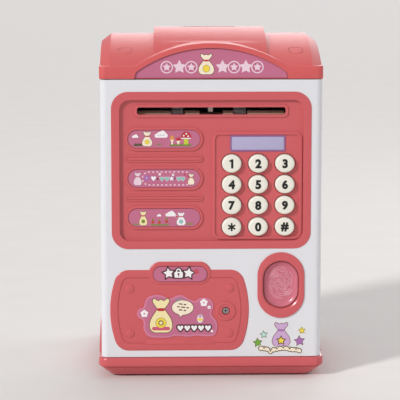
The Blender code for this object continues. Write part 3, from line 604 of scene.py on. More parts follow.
def sign_outline(grow, low):
    """A shallow arch with steep ends and a flat foot."""
    half, shoulder, crown = SIGN_ARCH
    foot = SIGN_HALF + grow
    feet = [(-foot, SIGN_LOW), (-foot, low), (foot, low), (foot, SIGN_LOW)]
    return without_repeats(segment_arch(half + grow, shoulder, crown + grow, 64) + feet)


def roof_mark(side):
    """A thin round groove on the front slope of the barrel."""
    x, y, radius = ROOF_MARK
    arch_radius = (BARREL_Y ** 2 + (RIDGE_HIGH - FASCIA_HIGH) ** 2) / (2 * (RIDGE_HIGH - FASCIA_HIGH))
    ring = prism([disc(side * x, y, reach, sides=40) for reach in (radius, radius - 0.45)],
                 "Z", -0.5, 6.0)
    centre = RIDGE_HIGH - arch_radius
    for vertex in ring.vertices:
        vertex.co.z += centre + sqrt(arch_radius ** 2 - vertex.co.y ** 2)
    return ring


def roof_cover():
    low, arch_foot, crown = ROOF[4], FASCIA_HIGH - 0.5, ROOF[5]
    fascia = bevelled(roof_plan(low, FASCIA_HIGH, 0.0, 4.0), 0.5)
    block = bevelled(loft([roof_section(x, BARREL_Y - 0.2, arch_foot - 0.4, arch_foot, crown)
                           for x in (-BLOCK_X, BLOCK_X)]), 0.7, 3)
    pediment = plate(segment_arch(*PEDIMENT, 64), ROOF[2], PEDIMENT_BACK, 0.5)
    mesh = join(fascia, bevelled(barrel(FASCIA_HIGH - 1.0), 0.35, 2), block, pediment)
    under_block = loft([roof_section(x, BARREL_Y - 2.0 * WALL, 184.0, arch_foot, crown - WALL)
                        for x in (-BLOCK_X + WALL, BLOCK_X - WALL)])
    half, foot, top = PEDIMENT
    behind = slab(segment_arch(half - WALL, foot - WALL, top - WALL), SIGN_BED + 1.6, -34.0)
    mesh = cut(mesh, roof_plan(low - 5, FASCIA_HIGH - WALL, 3.2, 1.0))
    mesh = cut(mesh, barrel(184.0, WALL))
    mesh = cut(mesh, under_block)
    mesh = cut(mesh, behind)
    slot = box(-COIN_SLOT[0] / 2, COIN_SLOT[0] / 2, -COIN_SLOT[1] / 2, COIN_SLOT[1] / 2, 195, 215)
    bed = slab(sign_outline(0.2, low - 2), -65.0, SIGN_BED)
    mesh = cut(mesh, slot, bed)
    mesh = cut(mesh, roof_mark(-1), roof_mark(1))
    piece("roof", mesh, "roof", HOUSING, "coral_plastic", "roof_cover", smooth=24.0)


def base_tray():
    levels = ((BASE[4], 6.6, 6.0), (6.3, 1.6, 5.6), (6.8, 1.7, 5.6), (7.4, 0.3, 5.9),
              (8.4, 0.0, 6.0), (11.4, 0.1, 6.0), (12.2, 0.35, 5.8), (12.65, 0.8, 5.4))
    mesh = loft([ring_xy(rounded(*grown(BASE[:4], -inset), corner), z)
                 for z, inset, corner in levels])
    hollow = []
    for z, inset in ((4.0, 12.0), (8.6, 4.6), (20.0, 4.6)):
        x0, x1, y0, y1 = grown(BASE[:4], -inset)
        hollow.append(ring_xy(rounded(x0, x1, y0 + 1.0, y1 - 1.0, 4.0), z))
    mesh = cut(mesh, loft(hollow))
    for side in (-1, 1):
        reach = sorted((side * (BODY_X + GAP), side * (BASE[1] - 0.1)))
        mesh = join(mesh, prism([segment_arch(44.0, 11.05, BASE[5])], "X", reach[0], reach[1]))
    pockets = []
    for name in ("foot_front_left", "foot_front_right", "foot_rear_left", "foot_rear_right"):
        pockets.append(prism([rounded(*grown(span(name)[:4], 0.3), 2.3, 4)], "Z", -1.0, 2.3))
    mesh = cut(mesh, *pockets)
    piece("base", mesh, "coral", HOUSING, "coral_plastic", "base_tray", smooth=28.0)


def bead(bounds, width, height, radius=None, steps=16):
    """A raised ring around a window, its crest rounded."""
    if radius is None:
        outer, inner = stadium(grown(bounds, width), steps), stadium(grown(bounds, 0.05), steps)
    else:
        outer = rounded(*grown(bounds, width), radius + width, steps)
        inner = rounded(*bounds, radius, steps)
    ring = cut(slab(outer, PANEL_FLOOR - height, PANEL_FLOOR + 0.5),
               slab(inner, PANEL_FLOOR - 5, PANEL_FLOOR + 5))
    return bevelled(ring, min(0.35, width * 0.3), 3, 50)


def front_panel():
    edges = (PANEL[0], PANEL[1], PANEL[4], PANEL[5])
    outer = rounded(*edges, PANEL_CORNER, 20)
    inner = rounded(*grown(edges, -PANEL_RIM), PANEL_CORNER - PANEL_RIM + 1, 16)
    mesh = plate(outer, PANEL_FRONT, FACE - GAP, 0.8, 4)
    mesh = join(mesh, slab(rounded(*PANEL_TONGUE, 7.7), -60.5, PANEL_BACK))
    mesh = cut(mesh, plate(inner, AHEAD, PANEL_FLOOR, 0.25, 2))
    lip = plate(rounded(*grown(NOTE_SLOT, 1.8), 3.0, 10), PANEL_FLOOR - 0.7, PANEL_FLOOR + 0.6, 0.45)
    mesh = join(mesh, lip, *[bead((*LABEL_X, *row), 1.7, 0.8) for row in LABEL_ROWS.values()])
    for low, high in RIB_ROWS:
        bounds = (*RIB_X, low, high)
        rib = plate(stadium(bounds), PANEL_FLOOR - 0.6, PANEL_FLOOR + 0.5, 0.3)
        groove = cut(slab(stadium(grown(bounds, -1.0)), -65.0, PANEL_FLOOR - 0.25),
                     slab(stadium(grown(bounds, -1.5)), AHEAD, PANEL_FLOOR))
        mesh = join(mesh, cut(rib, groove))
    mesh = join(mesh, bead(grown(KEYPAD_FRAME, -1.9), 1.9, 0.8, 2.6, 10))
    slot = slab(rounded(*NOTE_SLOT, 1.6, 8), *FRONT_CUT)
    screen = slab(rounded(*grown(LCD, 0.3), 1.0, 6), *FRONT_CUT)
    wells = []
    for name in KEY_NAMES:
        x, z = key_centre(name)
        wells.append(loft([ring_xz(ellipse(x, z, KEY_RX + more, KEY_RZ + more), y)
                           for y, more in KEY_WELL]))
    mesh = cut(mesh, slot, screen, *wells)
    piece("fascia", mesh, "coral", HOUSING, "coral_plastic", "front_panel", smooth=28.0)


def note_guide():
    """The chute's sloped lower lip, open at the rollers and the lever, leads a note into the nip."""
    section = [(-56.7, 158.4), (-56.7, 159.0), (-53.2, 160.9), (-53.2, 158.4)]
    reaches = ((-43.6, -24.0), (-15.5, -7.0), (7.0, 13.1), (21.6, 43.6))
    for number, reach in enumerate(reaches, 1):
        piece("note_guide_%d" % number, prism([section], "X", *reach), "guide", HOUSING,
              "black_plastic")


def key_centre(name):
    bounds = span(name)
    return (bounds[0] + bounds[1]) / 2, (bounds[4] + bounds[5]) / 2


def glyph(text, height):
    """A character's flat outline as a thin solid about its own middle, its front towards -Y."""
    curve = bpy.data.curves.new("glyph", "FONT")
    curve.body = text
    curve.size = 1.0
    curve.offset = 0.055
    curve.extrude = 0.5
    curve.resolution_u = 8
    mesh = drawn(linked(curve))
    xs = [v.co.x for v in mesh.vertices]
    ys = [v.co.y for v in mesh.vertices]
    scale = height / (max(ys) - min(ys))
    centre = Vector(((max(xs) + min(xs)) / 2, (max(ys) + min(ys)) / 2, 0))
    flat = Matrix.Diagonal((scale, scale, 0.08, 1.0))
    mesh.transform(Matrix.Rotation(radians(90), 4, "X") @ flat @ Matrix.Translation(-centre))
    return tidy(mesh)


def digit_one(height):
    """A stem with a slanted flag, about its own middle."""
    outline = [(0.16, -0.5), (0.16, 0.5), (-0.02, 0.5), (-0.26, 0.36), (-0.26, 0.17), (-0.08, 0.26),
               (-0.08, -0.5)]
    return slab([(u * height, v * height) for u, v in outline], -0.04, 0.04)


def asterisk(size):
    """Six even arms with round ends."""
    arms = []
    for turn in (30, 90, 150):
        arm = slab(stadium((-size, size, -size * 0.2, size * 0.2), 6), -0.04, 0.04)
        arm.transform(Matrix.Rotation(radians(turn), 4, "Y"))
        arms.append(arm)
    return join(*arms)


def keys():
    for name, text in KEY_NAMES.items():
        x, z = key_centre(name)
        front = span(name)[2]
        profile = [(front + depth, share) for depth, share in KEY_PROFILE] + [(-56.9, 1.0)]
        cap = loft([ring_xz(ellipse(x, z, KEY_RX * share, KEY_RZ * share), y)
                    for y, share in profile])
        flange = slab(ellipse(x, z, KEY_RX + 1.2, KEY_RZ + 0.6, 32), *KEY_FLANGE)
        stem = cylinder(2.2, "Y", *KEY_STEM, x, z, 24)
        mesh = join(cap, flange, stem)
        piece(name + "_cap", mesh, "cream", name, "cream_plastic", name, smooth=45.0)
        if text == "*":
            mark = asterisk(DIGIT_HIGH * 0.46)
        elif text == "1":
            mark = digit_one(DIGIT_HIGH)
        else:
            mark = glyph(text, DIGIT_HIGH)
        mark.transform(Matrix.Translation((x, front, z)))
        piece(name + "_mark", mark, "digit", name, "cream_plastic")


def display():
    border = cut(slab(rounded(*grown(LCD, 0.25), 1.0, 8), PANEL_FLOOR - 0.35, PANEL_FLOOR + 1.0),
                 slab(rounded(*grown(LCD, -0.55), 0.8, 8), -70, -50))
    piece("display_border", bevelled(border, 0.15, 2), "purple", HOUSING, "lilac_lens")
    window = plate(rounded(*grown(LCD, -0.62), 0.7, 8), PANEL_FLOOR - 0.25, PANEL_FLOOR + 1.6, 0.25)
    piece("display_lens", window, "lilac", HOUSING, "lilac_lens", "display_window")


def fingerprint_bezel():
    outer = plate(stadium(BEZEL, 24), BEZEL_BOX[2], FACE - GAP, 0.9, 4)
    mesh = join(outer, slab(stadium(grown(BEZEL, -2.3), 24), -60.6, -57.0))
    front = BEZEL_BOX[2]
    levels = ((-50.0, 0.0), (front + 1.2, 0.0), (front + 0.4, 0.5), (front - 0.1, 1.3), (AHEAD, 1.3))
    mesh = cut(mesh, loft([ring_xz(stadium(grown(BEZEL_HOLE, more), 20), y) for y, more in levels]))
    piece("print_reader_bezel", mesh, "coral", HOUSING, "coral_plastic", "fingerprint_bezel")


def fingerprint_button():
    front = span("fingerprint_button")[2]
    opening = grown(BEZEL_HOLE, -0.35)
    dish = ((front + 2.1, 5.6), (front + 2.0, 3.6), (front + 1.6, 1.9), (front + 0.9, 0.9),
            (front + 0.25, 0.3), (front + 0.3, 0.0), (-56.0, 0.0))
    mesh = loft([ring_xz(stadium(grown(opening, -inset), 20), y) for y, inset in dish])
    mesh = join(mesh, slab(stadium(grown(BEZEL_HOLE, 1.2)), -56.6, -55.6))
    piece("print_reader_button", mesh, "lens", "fingerprint_button", "pink_lens",
          "fingerprint_button", smooth=50.0)
    for name, draw in (("ridge", print_ridges), ("speck", print_specks)):
        piece("print_reader_%ss" % name, draw(front + 2.05), name, "fingerprint_button", "pink_lens")


def print_specks(depth):
    """Small pits scattered over the print pattern, drawn as low dark dots."""
    chance = random.Random(11)
    x, z, half_x, half_z = PRINT
    dots = []
    for _ in range(26):
        angle = chance.uniform(0, 2 * pi)
        reach = 0.92 * sqrt(chance.uniform(0.02, 1.0))
        dots.append(cylinder(0.2, "Y", depth - 0.22, depth + 0.1, x + half_x * reach * cos(angle),
                             z + half_z * reach * sin(angle), 10))
    return merged(dots)


def print_ridges(depth):
    """Nested oval ridges, broken at places, like the whorl of a fingertip."""
    chance = random.Random(7)
    x, z, half_x, half_z = PRINT
    curve = bpy.data.curves.new("ridges", "CURVE")
    curve.dimensions = "3D"
    curve.bevel_depth = 0.2
    curve.bevel_resolution = 1
    curve.use_fill_caps = True
    count = 9
    for ring in range(count):
        share = (ring + 0.6) / count
        start = chance.uniform(0, 360)
        pieces = 1 if ring < 2 else 3
        for part in range(pieces):
            begin = start + part * 360 / pieces
            sweep = 360 / pieces - chance.uniform(12, 34)
            spline = curve.splines.new("POLY")
            steps = 18
            spline.points.add(steps)
            for i in range(steps + 1):
                angle = radians(begin + sweep * i / steps)
                wobble = 1 + 0.03 * sin(3 * angle + ring)
                spline.points[i].co = (x + half_x * share * wobble * cos(angle), depth,
                                       z - 0.8 * (1 - share) + half_z * share * wobble
                                       * sin(angle), 1.0)
    return tidy(drawn(linked(curve)))


# ------------ door
def door_panel():
    mesh = plate(door_outline(), DOOR_FRONT, DOOR_BACK, 0.9, 4)
    groove = cut(slab(door_outline(-4.7), -65.0, DOOR_FRONT + 0.35),
                 slab(door_outline(-5.2), AHEAD, DOOR_FRONT + 1.0))
    mesh = cut(mesh, groove)
    tab = plate(stadium(TAB, 24), TAB_FRONT, DOOR_BACK, 0.7, 4)
    bosses = [bevelled(cylinder(2.9, "Y", DOOR_FRONT - 0.35, DOOR_FRONT + 0.6, x, z, 6), 0.25, 2)
              for x, z in HEX_BOSSES]
    foot = slab([(2.3, 20.7), (-0.6, 23.8), (-37.6, 23.8), (-40.5, 20.7)], DOOR_FRONT - 0.3,
                DOOR_FRONT + 0.5)
    ring = bevelled(cylinder(5.95, "Y", DOOR_FRONT - 0.55, DOOR_FRONT + 0.6, *LOCK), 0.4)
    mesh = join(mesh, tab, ring, bevelled(foot, 0.25, 2), *bosses)
    pocket = slab(stadium(grown(TAB_LABEL, 0.25), 20), AHEAD, TAB_FRONT + 0.45)
    dish = cylinder(4.3, "Y", DOOR_FRONT - 3.0, DOOR_FRONT - 0.2, *LOCK)
    mesh = cut(mesh, pocket, dish)
    well = cylinder(2.5, "Y", -70, DOOR_FRONT + 1.3, *LOCK, 48)
    notch = box(-65.0, HINGE[0] + 1.05, HINGE[1] - 0.87, -50.0, HINGE_LUG[0] - 0.3,
                HINGE_LUG[1] + 0.3)
    pin = cylinder(HINGE_HOLE, "Z", HINGE_PIN[0] - 0.2, HINGE_PIN[1] + 0.2, *HINGE, 16)
    mesh = cut(cut(mesh, well, notch), pin)
    piece("safe_door", mesh, "coral", "door", "coral_plastic", "door_panel", smooth=28.0)


def cross_bars(length, width, front, back):
    """The two bars of the cross on the lock's screw."""
    return [box(LOCK[0] - u / 2, LOCK[0] + u / 2, front, back, LOCK[1] - v / 2, LOCK[1] + v / 2)
            for u, v in ((length, width), (width, length))]


def lock_screw():
    front = DOOR_FRONT + 0.55
    head = bevelled(cylinder(2.0, "Y", front, DOOR_FRONT + 1.25, *LOCK, 40), 0.3)
    flat, upright = cross_bars(2.7, 0.6, AHEAD, front + 0.4)
    mesh = cut(cut(head, flat), upright)
    piece("lock_screw", mesh, "steel", "door", "steel", "door_lock_screw")
    # a black cross set just inside the slots is painted shade, darkening them
    shade = cross_bars(2.5, 0.42, front + 0.3, front + 0.45)
    piece("lock_screw_slot_shade", join(*shade), "black", "door", "steel")


# ------------ printed labels
LAYER = 0.03  # thickness of one printed colour over the last


def smooth(points, steps=4):
    """A closed Catmull-Rom curve through the points."""
    out = []
    count = len(points)
    for i in range(count):
        a, b, c, d = (Vector(points[(i + k) % count]) for k in (-1, 0, 1, 2))
        for j in range(steps):
            t = j / steps
            place = 0.5 * (2 * b + (c - a) * t + (2 * a - 5 * b + 4 * c - d) * t ** 2
                           + (3 * b - a - 3 * c + d) * t ** 3)
            out.append((place.x, place.y))
    return out


def offset(points, by):
    """Move a closed outline outwards by a small distance."""
    area = sum(u0 * v1 - u1 * v0 for (u0, v0), (u1, v1) in zip(points, points[1:] + points[:1]))
    turn = by if area > 0 else -by
    out = []
    for i, (u, v) in enumerate(points):
        before, after = Vector(points[i - 1]), Vector(points[(i + 1) % len(points)])
        first = (Vector((u, v)) - before).normalized()
        second = (after - Vector((u, v))).normalized()
        along = (first + second).normalized()
        stretch = 1.0 / max(0.45, along.dot(first))
        out.append((u + turn * stretch * along.y, v - turn * stretch * along.x))
    return out


def placed(points, x, z, size_x, size_z=None):
    return [(x + u * size_x, z + v * (size_z or size_x)) for u, v in points]


def mirrored(half_outline):
    """Close a right half outline, listed from its foot to its top, with its mirror image."""
    return half_outline + [(-u, v) for u, v in reversed(half_outline) if u > 0.001]


def disc(x, z, radius, radius_z=None, sides=20):
    return ellipse(x, z, radius, radius_z or radius, sides)


def star(x, z, radius, turn=0.0):
    """Five points, the notches between them at about half the radius."""
    reaches = (radius * 1.0, radius * 0.52)
    return [around(x, z, reaches[i % 2], reaches[i % 2], 90 + turn + 36 * i) for i in range(10)]


def heart(x, z, width):
    half = [(0, -0.48), (0.3, -0.18), (0.5, 0.14), (0.42, 0.40), (0.2, 0.46), (0.02, 0.28)]
    return placed(smooth(mirrored(half), 3), x, z, width)


# the two outlines of a money bag, one unit wide and high
SACK = smooth(mirrored([(0, 0), (0.34, 0.01), (0.50, 0.16), (0.45, 0.38), (0.24, 0.60),
                        (0.13, 0.68)]), 3)
RUFFLE = smooth(mirrored([(0, 0.66), (0.12, 0.68), (0.36, 0.90), (0.30, 1.0), (0.13, 0.93),
                          (0, 0.97)]), 3)


def bag(x, low, width, height, fill="sand", line="brown", tie="red", mark="yellow", edge=0.3,
        level=1):
    """A tied money bag with a round coin on it."""
    art = []
    for outline in (SACK, RUFFLE):
        shape = placed(outline, x, low, width, height)
        art.append((level, line, offset(shape, edge)))
        art.append((level + 1, fill, shape))
    knot = rounded(x - 0.17 * width, x + 0.17 * width, low + 0.63 * height, low + 0.72 * height,
                   0.04 * height, 3)
    art.append((level + 2, tie, knot))
    if mark:
        art.append((level + 2, line, disc(x, low + 0.28 * height, 0.24 * width)))
        art.append((level + 3, mark, disc(x, low + 0.28 * height, 0.24 * width - 0.5 * edge)))
    return art


def cloud(x, z, width):
    lobes = ((-0.34, -0.04, 0.16), (-0.12, 0.06, 0.20), (0.12, 0.12, 0.24), (0.34, -0.02, 0.17))
    art = [(1, "white", disc(x + u * width, z + v * width, r * width)) for u, v, r in lobes]
    base = stadium((x - 0.5 * width, x + 0.5 * width, z - 0.20 * width, z + 0.06 * width), 6)
    return art + [(1, "white", base)]


def flower(x, z, radius, petals="white", eye="rose"):
    reach = 0.56 * radius
    art = [(1, petals, disc(*around(x, z, reach, reach, 90 + 72 * i), 0.42 * radius))
           for i in range(5)]
    return art + [(2, eye, disc(x, z, 0.2 * radius))]


def grass(x0, x1, z, height, ink_name="green", level=1):
    """A strip of grass: blades of uneven height on one foot."""
    chance = random.Random(int(abs(x0 * 10)))
    blades = max(3, round((x1 - x0) / 0.9))
    points = [(x0, z), (x1, z)]
    for i in range(blades, -1, -1):
        x = x0 + (x1 - x0) * i / blades
        points.append((x, z + height * chance.uniform(0.75, 1.1)))
        if i:
            points.append((x - 0.5 * (x1 - x0) / blades, z + height * 0.4))
    return [(level, ink_name, without_repeats(points))]


def mushroom(x, low, width, height, cap, stem, dots=True):
    """A domed cap on a stem, with pale dots where it is large enough for them."""
    dome = arc(x, low + 0.52 * height, 0.5 * width, 0.48 * height, 0, 180, 14)
    art = [(1, stem, rounded(x - 0.2 * width, x + 0.2 * width, low, low + 0.6 * height,
                             0.12 * width, 4)),
           (2, cap, dome),
           (2, "white", stadium((x - 0.46 * width, x + 0.46 * width, low + 0.47 * height,
                                 low + 0.54 * height), 4))]
    if dots:
        art += [(3, "white", disc(x + u * width, low + v * height, 0.08 * width))
                for u, v in ((-0.22, 0.70), (0.02, 0.84), (0.2, 0.66))]
    return art


def pill(x, z, length, height, level, ink_name, turn=0.0):
    shape = stadium((-length / 2, length / 2, -height / 2, height / 2), 4)
    c, s = cos(radians(turn)), sin(radians(turn))
    return (level, ink_name, [(x + u * c - v * s, z + u * s + v * c) for u, v in shape])


def dashed(bounds, dash, gap, level, ink_name):
    """Dashes spaced evenly along a rounded strip."""
    u0, u1, v0, v1 = bounds
    radius = (v1 - v0) / 2
    straight = (u1 - u0) - 2 * radius
    half = straight + pi * radius
    count = round(2 * half / (dash + gap))
    art = []
    for i in range(count):
        along = 2 * half * i / count
        rest, x, z = along % half, u0 + radius + along % half, v1
        turn = min(0.0, straight - rest) / radius
        if turn:
            x, z = u1 - radius - radius * sin(turn), v0 + radius + radius * cos(turn)
        if along >= half:
            x, z, turn = u0 + u1 - x, v0 + v1 - z, turn + pi
        art.append(pill(x, z, dash, 0.75, level, ink_name, degrees(turn)))
    return art


def outlined(shape, fill, line="dark", edge=0.35, level=1):
    return [(level, line, offset(shape, edge)), (level + 1, fill, shape)]


def print_art(name, body, face, art, *replaced):
    """Build each ink of a print as one piece, every level a little in front of the one below."""
    inks = sorted({ink_name for _, ink_name, _ in art})
    for ink_name in inks:
        shapes = []
        for order, (level, used, outline) in enumerate(art):
            if used == ink_name:
                front = face - LAYER * level - LAYER * 0.9 * order / len(art)
                shapes.append(slab(outline, front, face + 0.02))
        mesh = merged(shapes)
        piece(name + "_" + ink_name, mesh, "ink_" + ink_name, body, "printed_label", *replaced)


def sign_art():
    """White coins and stars either side of a money bag."""
    art = bag(-3.0, 183.0, 9.0, 12.0, edge=0.35)
    middle = 187.2
    for i, x in enumerate((-26.4, -18.9, -11.9, 6.6, 13.4, 20.4, 27.2)):
        if i % 2 == 0:
            art += [(1, "pale", disc(x, middle, 3.7, sides=32)),
                    (2, "mauve_ring", disc(x, middle, 3.0, sides=32)), (3, "pale", star(x, middle, 2.5))]
        else:
            art.append((1, "pale", star(x, middle + 0.1, 4.2)))
    print_art("sign_print", HOUSING, span("sign_label")[2], art)


def upper_art():
    art = cloud(-45.2, 146.2, 3.7) + cloud(-29.8, 147.0, 7.6)
    art += [pill(x, 147.0, 1.0, 0.4, 2, "stone") for x in (-31.4, -29.9, -28.4)]
    art += bag(-38.1, 140.5, 5.8, 8.6, edge=0.18)
    art += grass(-46.0, -41.2, 140.6, 1.9, "dark_green") + grass(-32.4, -29.6, 141.2, 0.9)
    art += mushroom(-23.3, 141.0, 2.5, 5.9, "orange", "sand", dots=False)
    art += mushroom(-19.6, 141.2, 3.3, 4.4, "red", "sand", dots=False)
    art += mushroom(-15.0, 140.9, 6.3, 8.2, "red", "lime")
    art += grass(-24.6, -11.9, 140.5, 1.4, level=4)
    return art


def middle_art():
    art = bag(-43.8, 117.2, 4.6, 7.4, "pale", "stone", "rose", None, 0.25)
    art += dashed((-41.0, -11.6, 117.2, 125.0), 1.25, 1.25, 1, "pale")
    art += flower(-38.4, 121.4, 1.9, "violet", "pale")
    art += outlined(heart(-34.4, 121.1, 2.9), "white", "violet", 0.2)
    art += [(1, "dark", disc(-31.9, 120.8, 0.55)), (1, "dark", disc(-21.9, 121.2, 0.55))]
    for x in (-29.4, -26.3, -19.4, -17.0):
        art += outlined(heart(x, 120.8, 2.5), "teal", "pale", 0.22)
    art += outlined(star(-23.6, 121.0, 1.5), "white", "violet", 0.2)
    art += flower(-30.7, 123.6, 0.8, "white", "rose") + flower(-22.8, 123.3, 0.8, "white", "rose")
    art += [(1, "red", heart(-15.8, 123.3, 1.1)), (1, "red", heart(-13.9, 122.3, 1.1))]
    return art + bag(-12.0, 117.4, 3.8, 6.4, "sand", "brown", "red", None, 0.18, level=3)


def lower_art():
    art = grass(-46.6, -43.4, 93.2, 1.1)
    art += bag(-40.6, 93.0, 4.6, 8.4, "cream", "brown", "red", "green", 0.18)
    art += cloud(-31.2, 98.8, 2.6) + cloud(-24.3, 99.5, 6.0)
    for x, height in ((-34.9, 2.8), (-31.0, 2.2), (-26.7, 3.4)):
        art += [(1, "green", star(x, 93.6 + height, 0.9)),
                (2, "brick", disc(x, 93.4 + 0.55 * height, 0.8, 1.0))]
    art += grass(-36.0, -25.4, 92.8, 1.2, level=3)
    art += bag(-18.0, 93.0, 5.2, 7.6, "white", "stone", "rose", "teal", 0.2)
    art += outlined(heart(-20.6, 98.0, 1.4), "red", "white", 0.15)
    return art + grass(-14.9, -11.2, 93.3, 1.2)


def nameplate_art():
    """Two stars either side of a padlock, white with a dark edge."""
    art = outlined(star(-25.6, 64.3, 3.2, 8), "white", edge=0.75)
    shackle = [(-0.75, 0.0), (-0.75, 0.55)] + arc(0, 0.55, 0.75, 0.75, 180, 0, 10) + [(0.75, 0.0)]
    loop = shackle + [(0.4, 0.0), (0.4, 0.5)] + arc(0, 0.5, 0.4, 0.42, 0, 180, 8) + [(-0.4, 0.0)]
    art += outlined(placed(loop, -19.6, 64.6, 2.0), "white", edge=0.7)
    art += outlined(rounded(-22.1, -17.1, 61.6, 65.2, 0.8, 4), "white", edge=0.7)
    art += [(3, "dark", disc(-19.6, 63.8, 0.6)), pill(-19.6, 63.0, 1.4, 0.5, 3, "dark", 90)]
    art += outlined(star(-13.6, 64.3, 3.2, -8), "white", edge=0.75)
    return art + [(1, "brick", star(-8.9, 65.3, 1.9, 20)), (2, "rose", star(-8.9, 65.3, 0.9, 20))]


STICKER = ((-39.4, 47.6), (-37.4, 49.9), (-31.5, 51.1), (-25.2, 48.7), (-21.4, 50.2),
           (-17.6, 50.8), (-13.9, 48.6), (-9.6, 47.2), (-7.6, 48.6), (-4.6, 49.3), (-0.2, 47.6),
           (1.2, 43.8), (0.0, 40.2), (0.9, 37.4), (3.1, 34.6), (3.4, 30.0), (1.7, 26.3),
           (-3.0, 25.6), (-8.6, 26.1), (-14.0, 25.5), (-21.6, 26.1), (-25.2, 25.1), (-32.6, 24.9),
           (-37.3, 25.7), (-39.4, 27.6), (-40.8, 30.8), (-40.5, 33.6), (-41.3, 36.0),
           (-43.6, 37.3), (-44.6, 39.6), (-43.5, 42.4), (-40.8, 43.4))


def door_sticker():
    face = DOOR_FRONT - 0.04
    rim = smooth(STICKER)
    # the lighter rim around the sticker is a painted highlight along its edge
    piece("door_sticker_rim", slab(rim, face - 0.40, face), "label_edge_highlight", "door", "printed_label",
          "door_label")
    front = face - 0.44
    piece("door_sticker_field", slab(offset(rim, -0.9), front, face), "label", "door",
          "printed_label")
    return front


def door_art():
    art = bag(-30.2, 28.2, 13.4, 20.6, "cream", "brown", "red", "yellow", 0.4)
    art += [(3, "rose", rounded(-35.6, -24.8, 29.4, 31.6, 1.0, 4)),
            (4, "brown", disc(-30.2, 34.0, 1.6)), (5, "cream", star(-30.2, 34.0, 1.5))]
    bubble = ellipse(-17.2, 43.3, 6.4, 4.4, 32)
    tail = [(-19.8, 40.4), (-18.7, 37.6), (-16.4, 39.6)]
    art += outlined(bubble, "sand", "brown", 0.35) + outlined(tail, "sand", "brown", 0.3)
    for z, lengths in ((45.2, (2.4, 1.6)), (43.4, (1.8, 2.6, 1.6)), (41.6, (2.2, 1.6))):
        x = -17.2 - sum(lengths) / 2 - 0.4
        for length in lengths:
            art.append(pill(x + length / 2, z - 0.12 * (x + 17.2), length, 0.7, 3, "brown", -7))
            x += length + 0.6
    art += [(1, "stone", disc(x, z, 0.75)) for x, z in ((-20.8, 48.0), (-19.4, 48.3), (-18.0, 48.2))]
    art += flower(-40.2, 39.7, 2.4) + flower(-4.5, 46.2, 2.4) + flower(-1.3, 43.4, 1.1)
    art += outlined(disc(-6.7, 36.4, 1.9, 2.6), "pale", "stone", 0.25)
    art += [(3, "yellow", rounded(-8.3, -5.1, 35.2, 36.6, 0.6, 4)), (3, "violet", disc(-6.7, 37.9, 0.6)),
            (1, "rose", disc(-8.2, 40.7, 0.55)), (1, "rose", disc(-3.5, 40.0, 0.55)),
            (1, "white", disc(0.4, 28.8, 0.75))]
    for i in range(5):
        art += outlined(heart(-18.6 + 4.15 * i, 30.7, 3.5), "white", "dark", 0.8, level=1)
    return art


def corner_art():
    """A lilac money bag among stars, over a scalloped ribbon."""
    art = []
    for x, z, radius, fill in ((31.6, 26.4, 1.9, "mint"), (28.0, 21.4, 2.4, "leaf"),
                               (54.6, 28.7, 1.7, "yellow"), (53.2, 22.3, 2.9, "violet")):
        shape = star(x, z, radius, 6)
        line = {"mint": "slate", "leaf": "dark_green", "yellow": "olive", "violet": "plum"}[fill]
        art += [(1, "halo", offset(shape, 1.0)), (2, line, offset(shape, 0.35)), (3, fill, shape)]
    sack = bag(42.1, 19.2, 10.4, 14.4, "lilac", "plum", "violet", None, 0.38, level=2)
    art += [(1, "halo", offset(placed(outline, 42.1, 19.2, 10.4, 14.4), 1.0))
            for outline in (SACK, RUFFLE)]
    badge = star(42.1, 22.6, 2.2)
    art += sack + [(5, "brown", offset(badge, 0.5)), (6, "yellow", badge)]
    for i in range(13):
        x = 29.9 + 1.93 * i
        z = 17.4 + 0.5 * cos(0.9 * i) - (1.0 if i in (3, 12) else 0.0)
        art += [(2, "halo", disc(x, z, 2.1)), (4, "umber", disc(x, z, 1.65)),
                (7, "sand", disc(x, z, 1.15))]
        if i % 2:
            art.append((8, "umber", disc(x, z + 0.4, 0.5)))
    return art


def label_prints():
    sign_art()
    for name, art in (("label_upper", upper_art()), ("label_middle", middle_art()),
                      ("label_lower", lower_art())):
        print_art(name + "_print", HOUSING, span(name)[2], art)
    print_art("nameplate_print", "door", span("door_nameplate")[2], nameplate_art())
    print_art("door_sticker_print", "door", door_sticker(), door_art())
    print_art("corner_print", HOUSING, FACE - 0.02, corner_art(), "corner_label")


# ------------ floor, light and camera, in metres
FLOOR_HALF = 30.0  # half the floor's side, which reaches past every view
WORLD = ((0.97, 0.98, 1.0, 1.0), 0.50)  # colour and strength of the even light
CAMERA_ANGLES = (-1.5, 8.0)  # azimuth and elevation, degrees
CAMERA_TARGET = Vector((-0.00516, 0.0, 0.09962))
CAMERA_DISTANCE = 1.1516
CAMERA_LENS = 164.7  # millimetres


def floor():
    work = bmesh.new()
    bmesh.ops.create_grid(work, x_segments=1, y_segments=1, size=FLOOR_HALF * 2)
    mesh = mesh_of(work)
    mesh.materials.append(material("floor"))
    linked(mesh, "floor")


def aim(obj, place, target):
    obj.location = place
    obj.rotation_euler = (target - place).to_track_quat("-Z", "Y").to_euler()


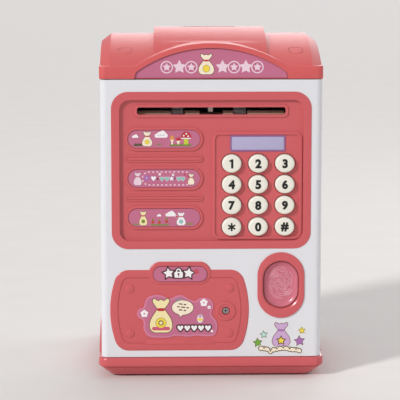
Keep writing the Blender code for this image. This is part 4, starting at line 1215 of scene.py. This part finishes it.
def aimed_light(name, kind, place, power, size, target=(0, 0, 0.1)):
    """Size is the angle of a sun in radians, or the diameter of a disc in metres."""
    light = bpy.data.lights.new(name, kind)
    light.energy = power
    if kind == "SUN":
        light.angle = size
    else:
        light.shape = "DISK"
        light.size = size
    aim(linked(light, name), Vector(place), Vector(target))


def lighting():
    world = bpy.data.worlds.new("studio")
    world.use_nodes = True
    back = world.node_tree.nodes["Background"]
    back.inputs["Color"].default_value, back.inputs["Strength"].default_value = WORLD
    bpy.context.scene.world = world
    aimed_light("key", "SUN", (-1.1, -1.0, 0.95), 2.0, 0.15)
    aimed_light("rim", "AREA", (0.95, 0.35, 0.75), 3.0, 0.8)
    aimed_light("back", "SUN", (0.2, 1.6, 0.85), 0.85, 0.6, (0, 0, 0.2))
    settings = bpy.context.scene.view_settings
    settings.view_transform = "Standard"
    settings.look = "None"


def camera():
    azimuth, elevation = (radians(angle) for angle in CAMERA_ANGLES)
    back = Vector((sin(azimuth) * cos(elevation), -cos(azimuth) * cos(elevation),
                   sin(elevation)))
    data = bpy.data.cameras.new("camera")
    data.sensor_width = 36.0
    data.lens = CAMERA_LENS
    obj = linked(data, "camera")
    aim(obj, CAMERA_TARGET + back * CAMERA_DISTANCE, CAMERA_TARGET)
    bpy.context.scene.camera = obj


# ------------ carried over CAD nodes
# finish, and how the names of its nodes start
CAD_FINISHES = {
    "white": ("cash_bin", "coin_chute", "battery_door"),
    "rubber": ("foot_", "keypad_membrane"),
    "roller": ("feed_roller_", "idler_roller"),
    "chute": ("note_chute",),
    "black": ("latch_solenoid", "battery_box", "power_switch", "speaker"),
    "board": ("keypad_board", "main_board"),
    "steel": ("hinge_pin", "door_keeper", "latch_plunger", "feed_shaft", "feed_motor",
              "battery_screw", "case_screw_"),
    "nylon": ("feed_gear", "motor_pinion", "note_lever"),
    "label": ("sign_label", "label_", "door_nameplate", "door_label"),
}


def finish_cad_nodes():
    for finish, starts in CAD_FINISHES.items():
        for name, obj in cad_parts.items():
            if name.startswith(starts):
                obj.data.materials.clear()
                obj.data.materials.append(material(finish))


camera()
lighting()
floor()
front_shell()
rear_shell()
roof_cover()
base_tray()
front_panel()
note_guide()
keys()
display()
fingerprint_bezel()
fingerprint_button()
door_panel()
lock_screw()
label_prints()
finish_cad_nodes()
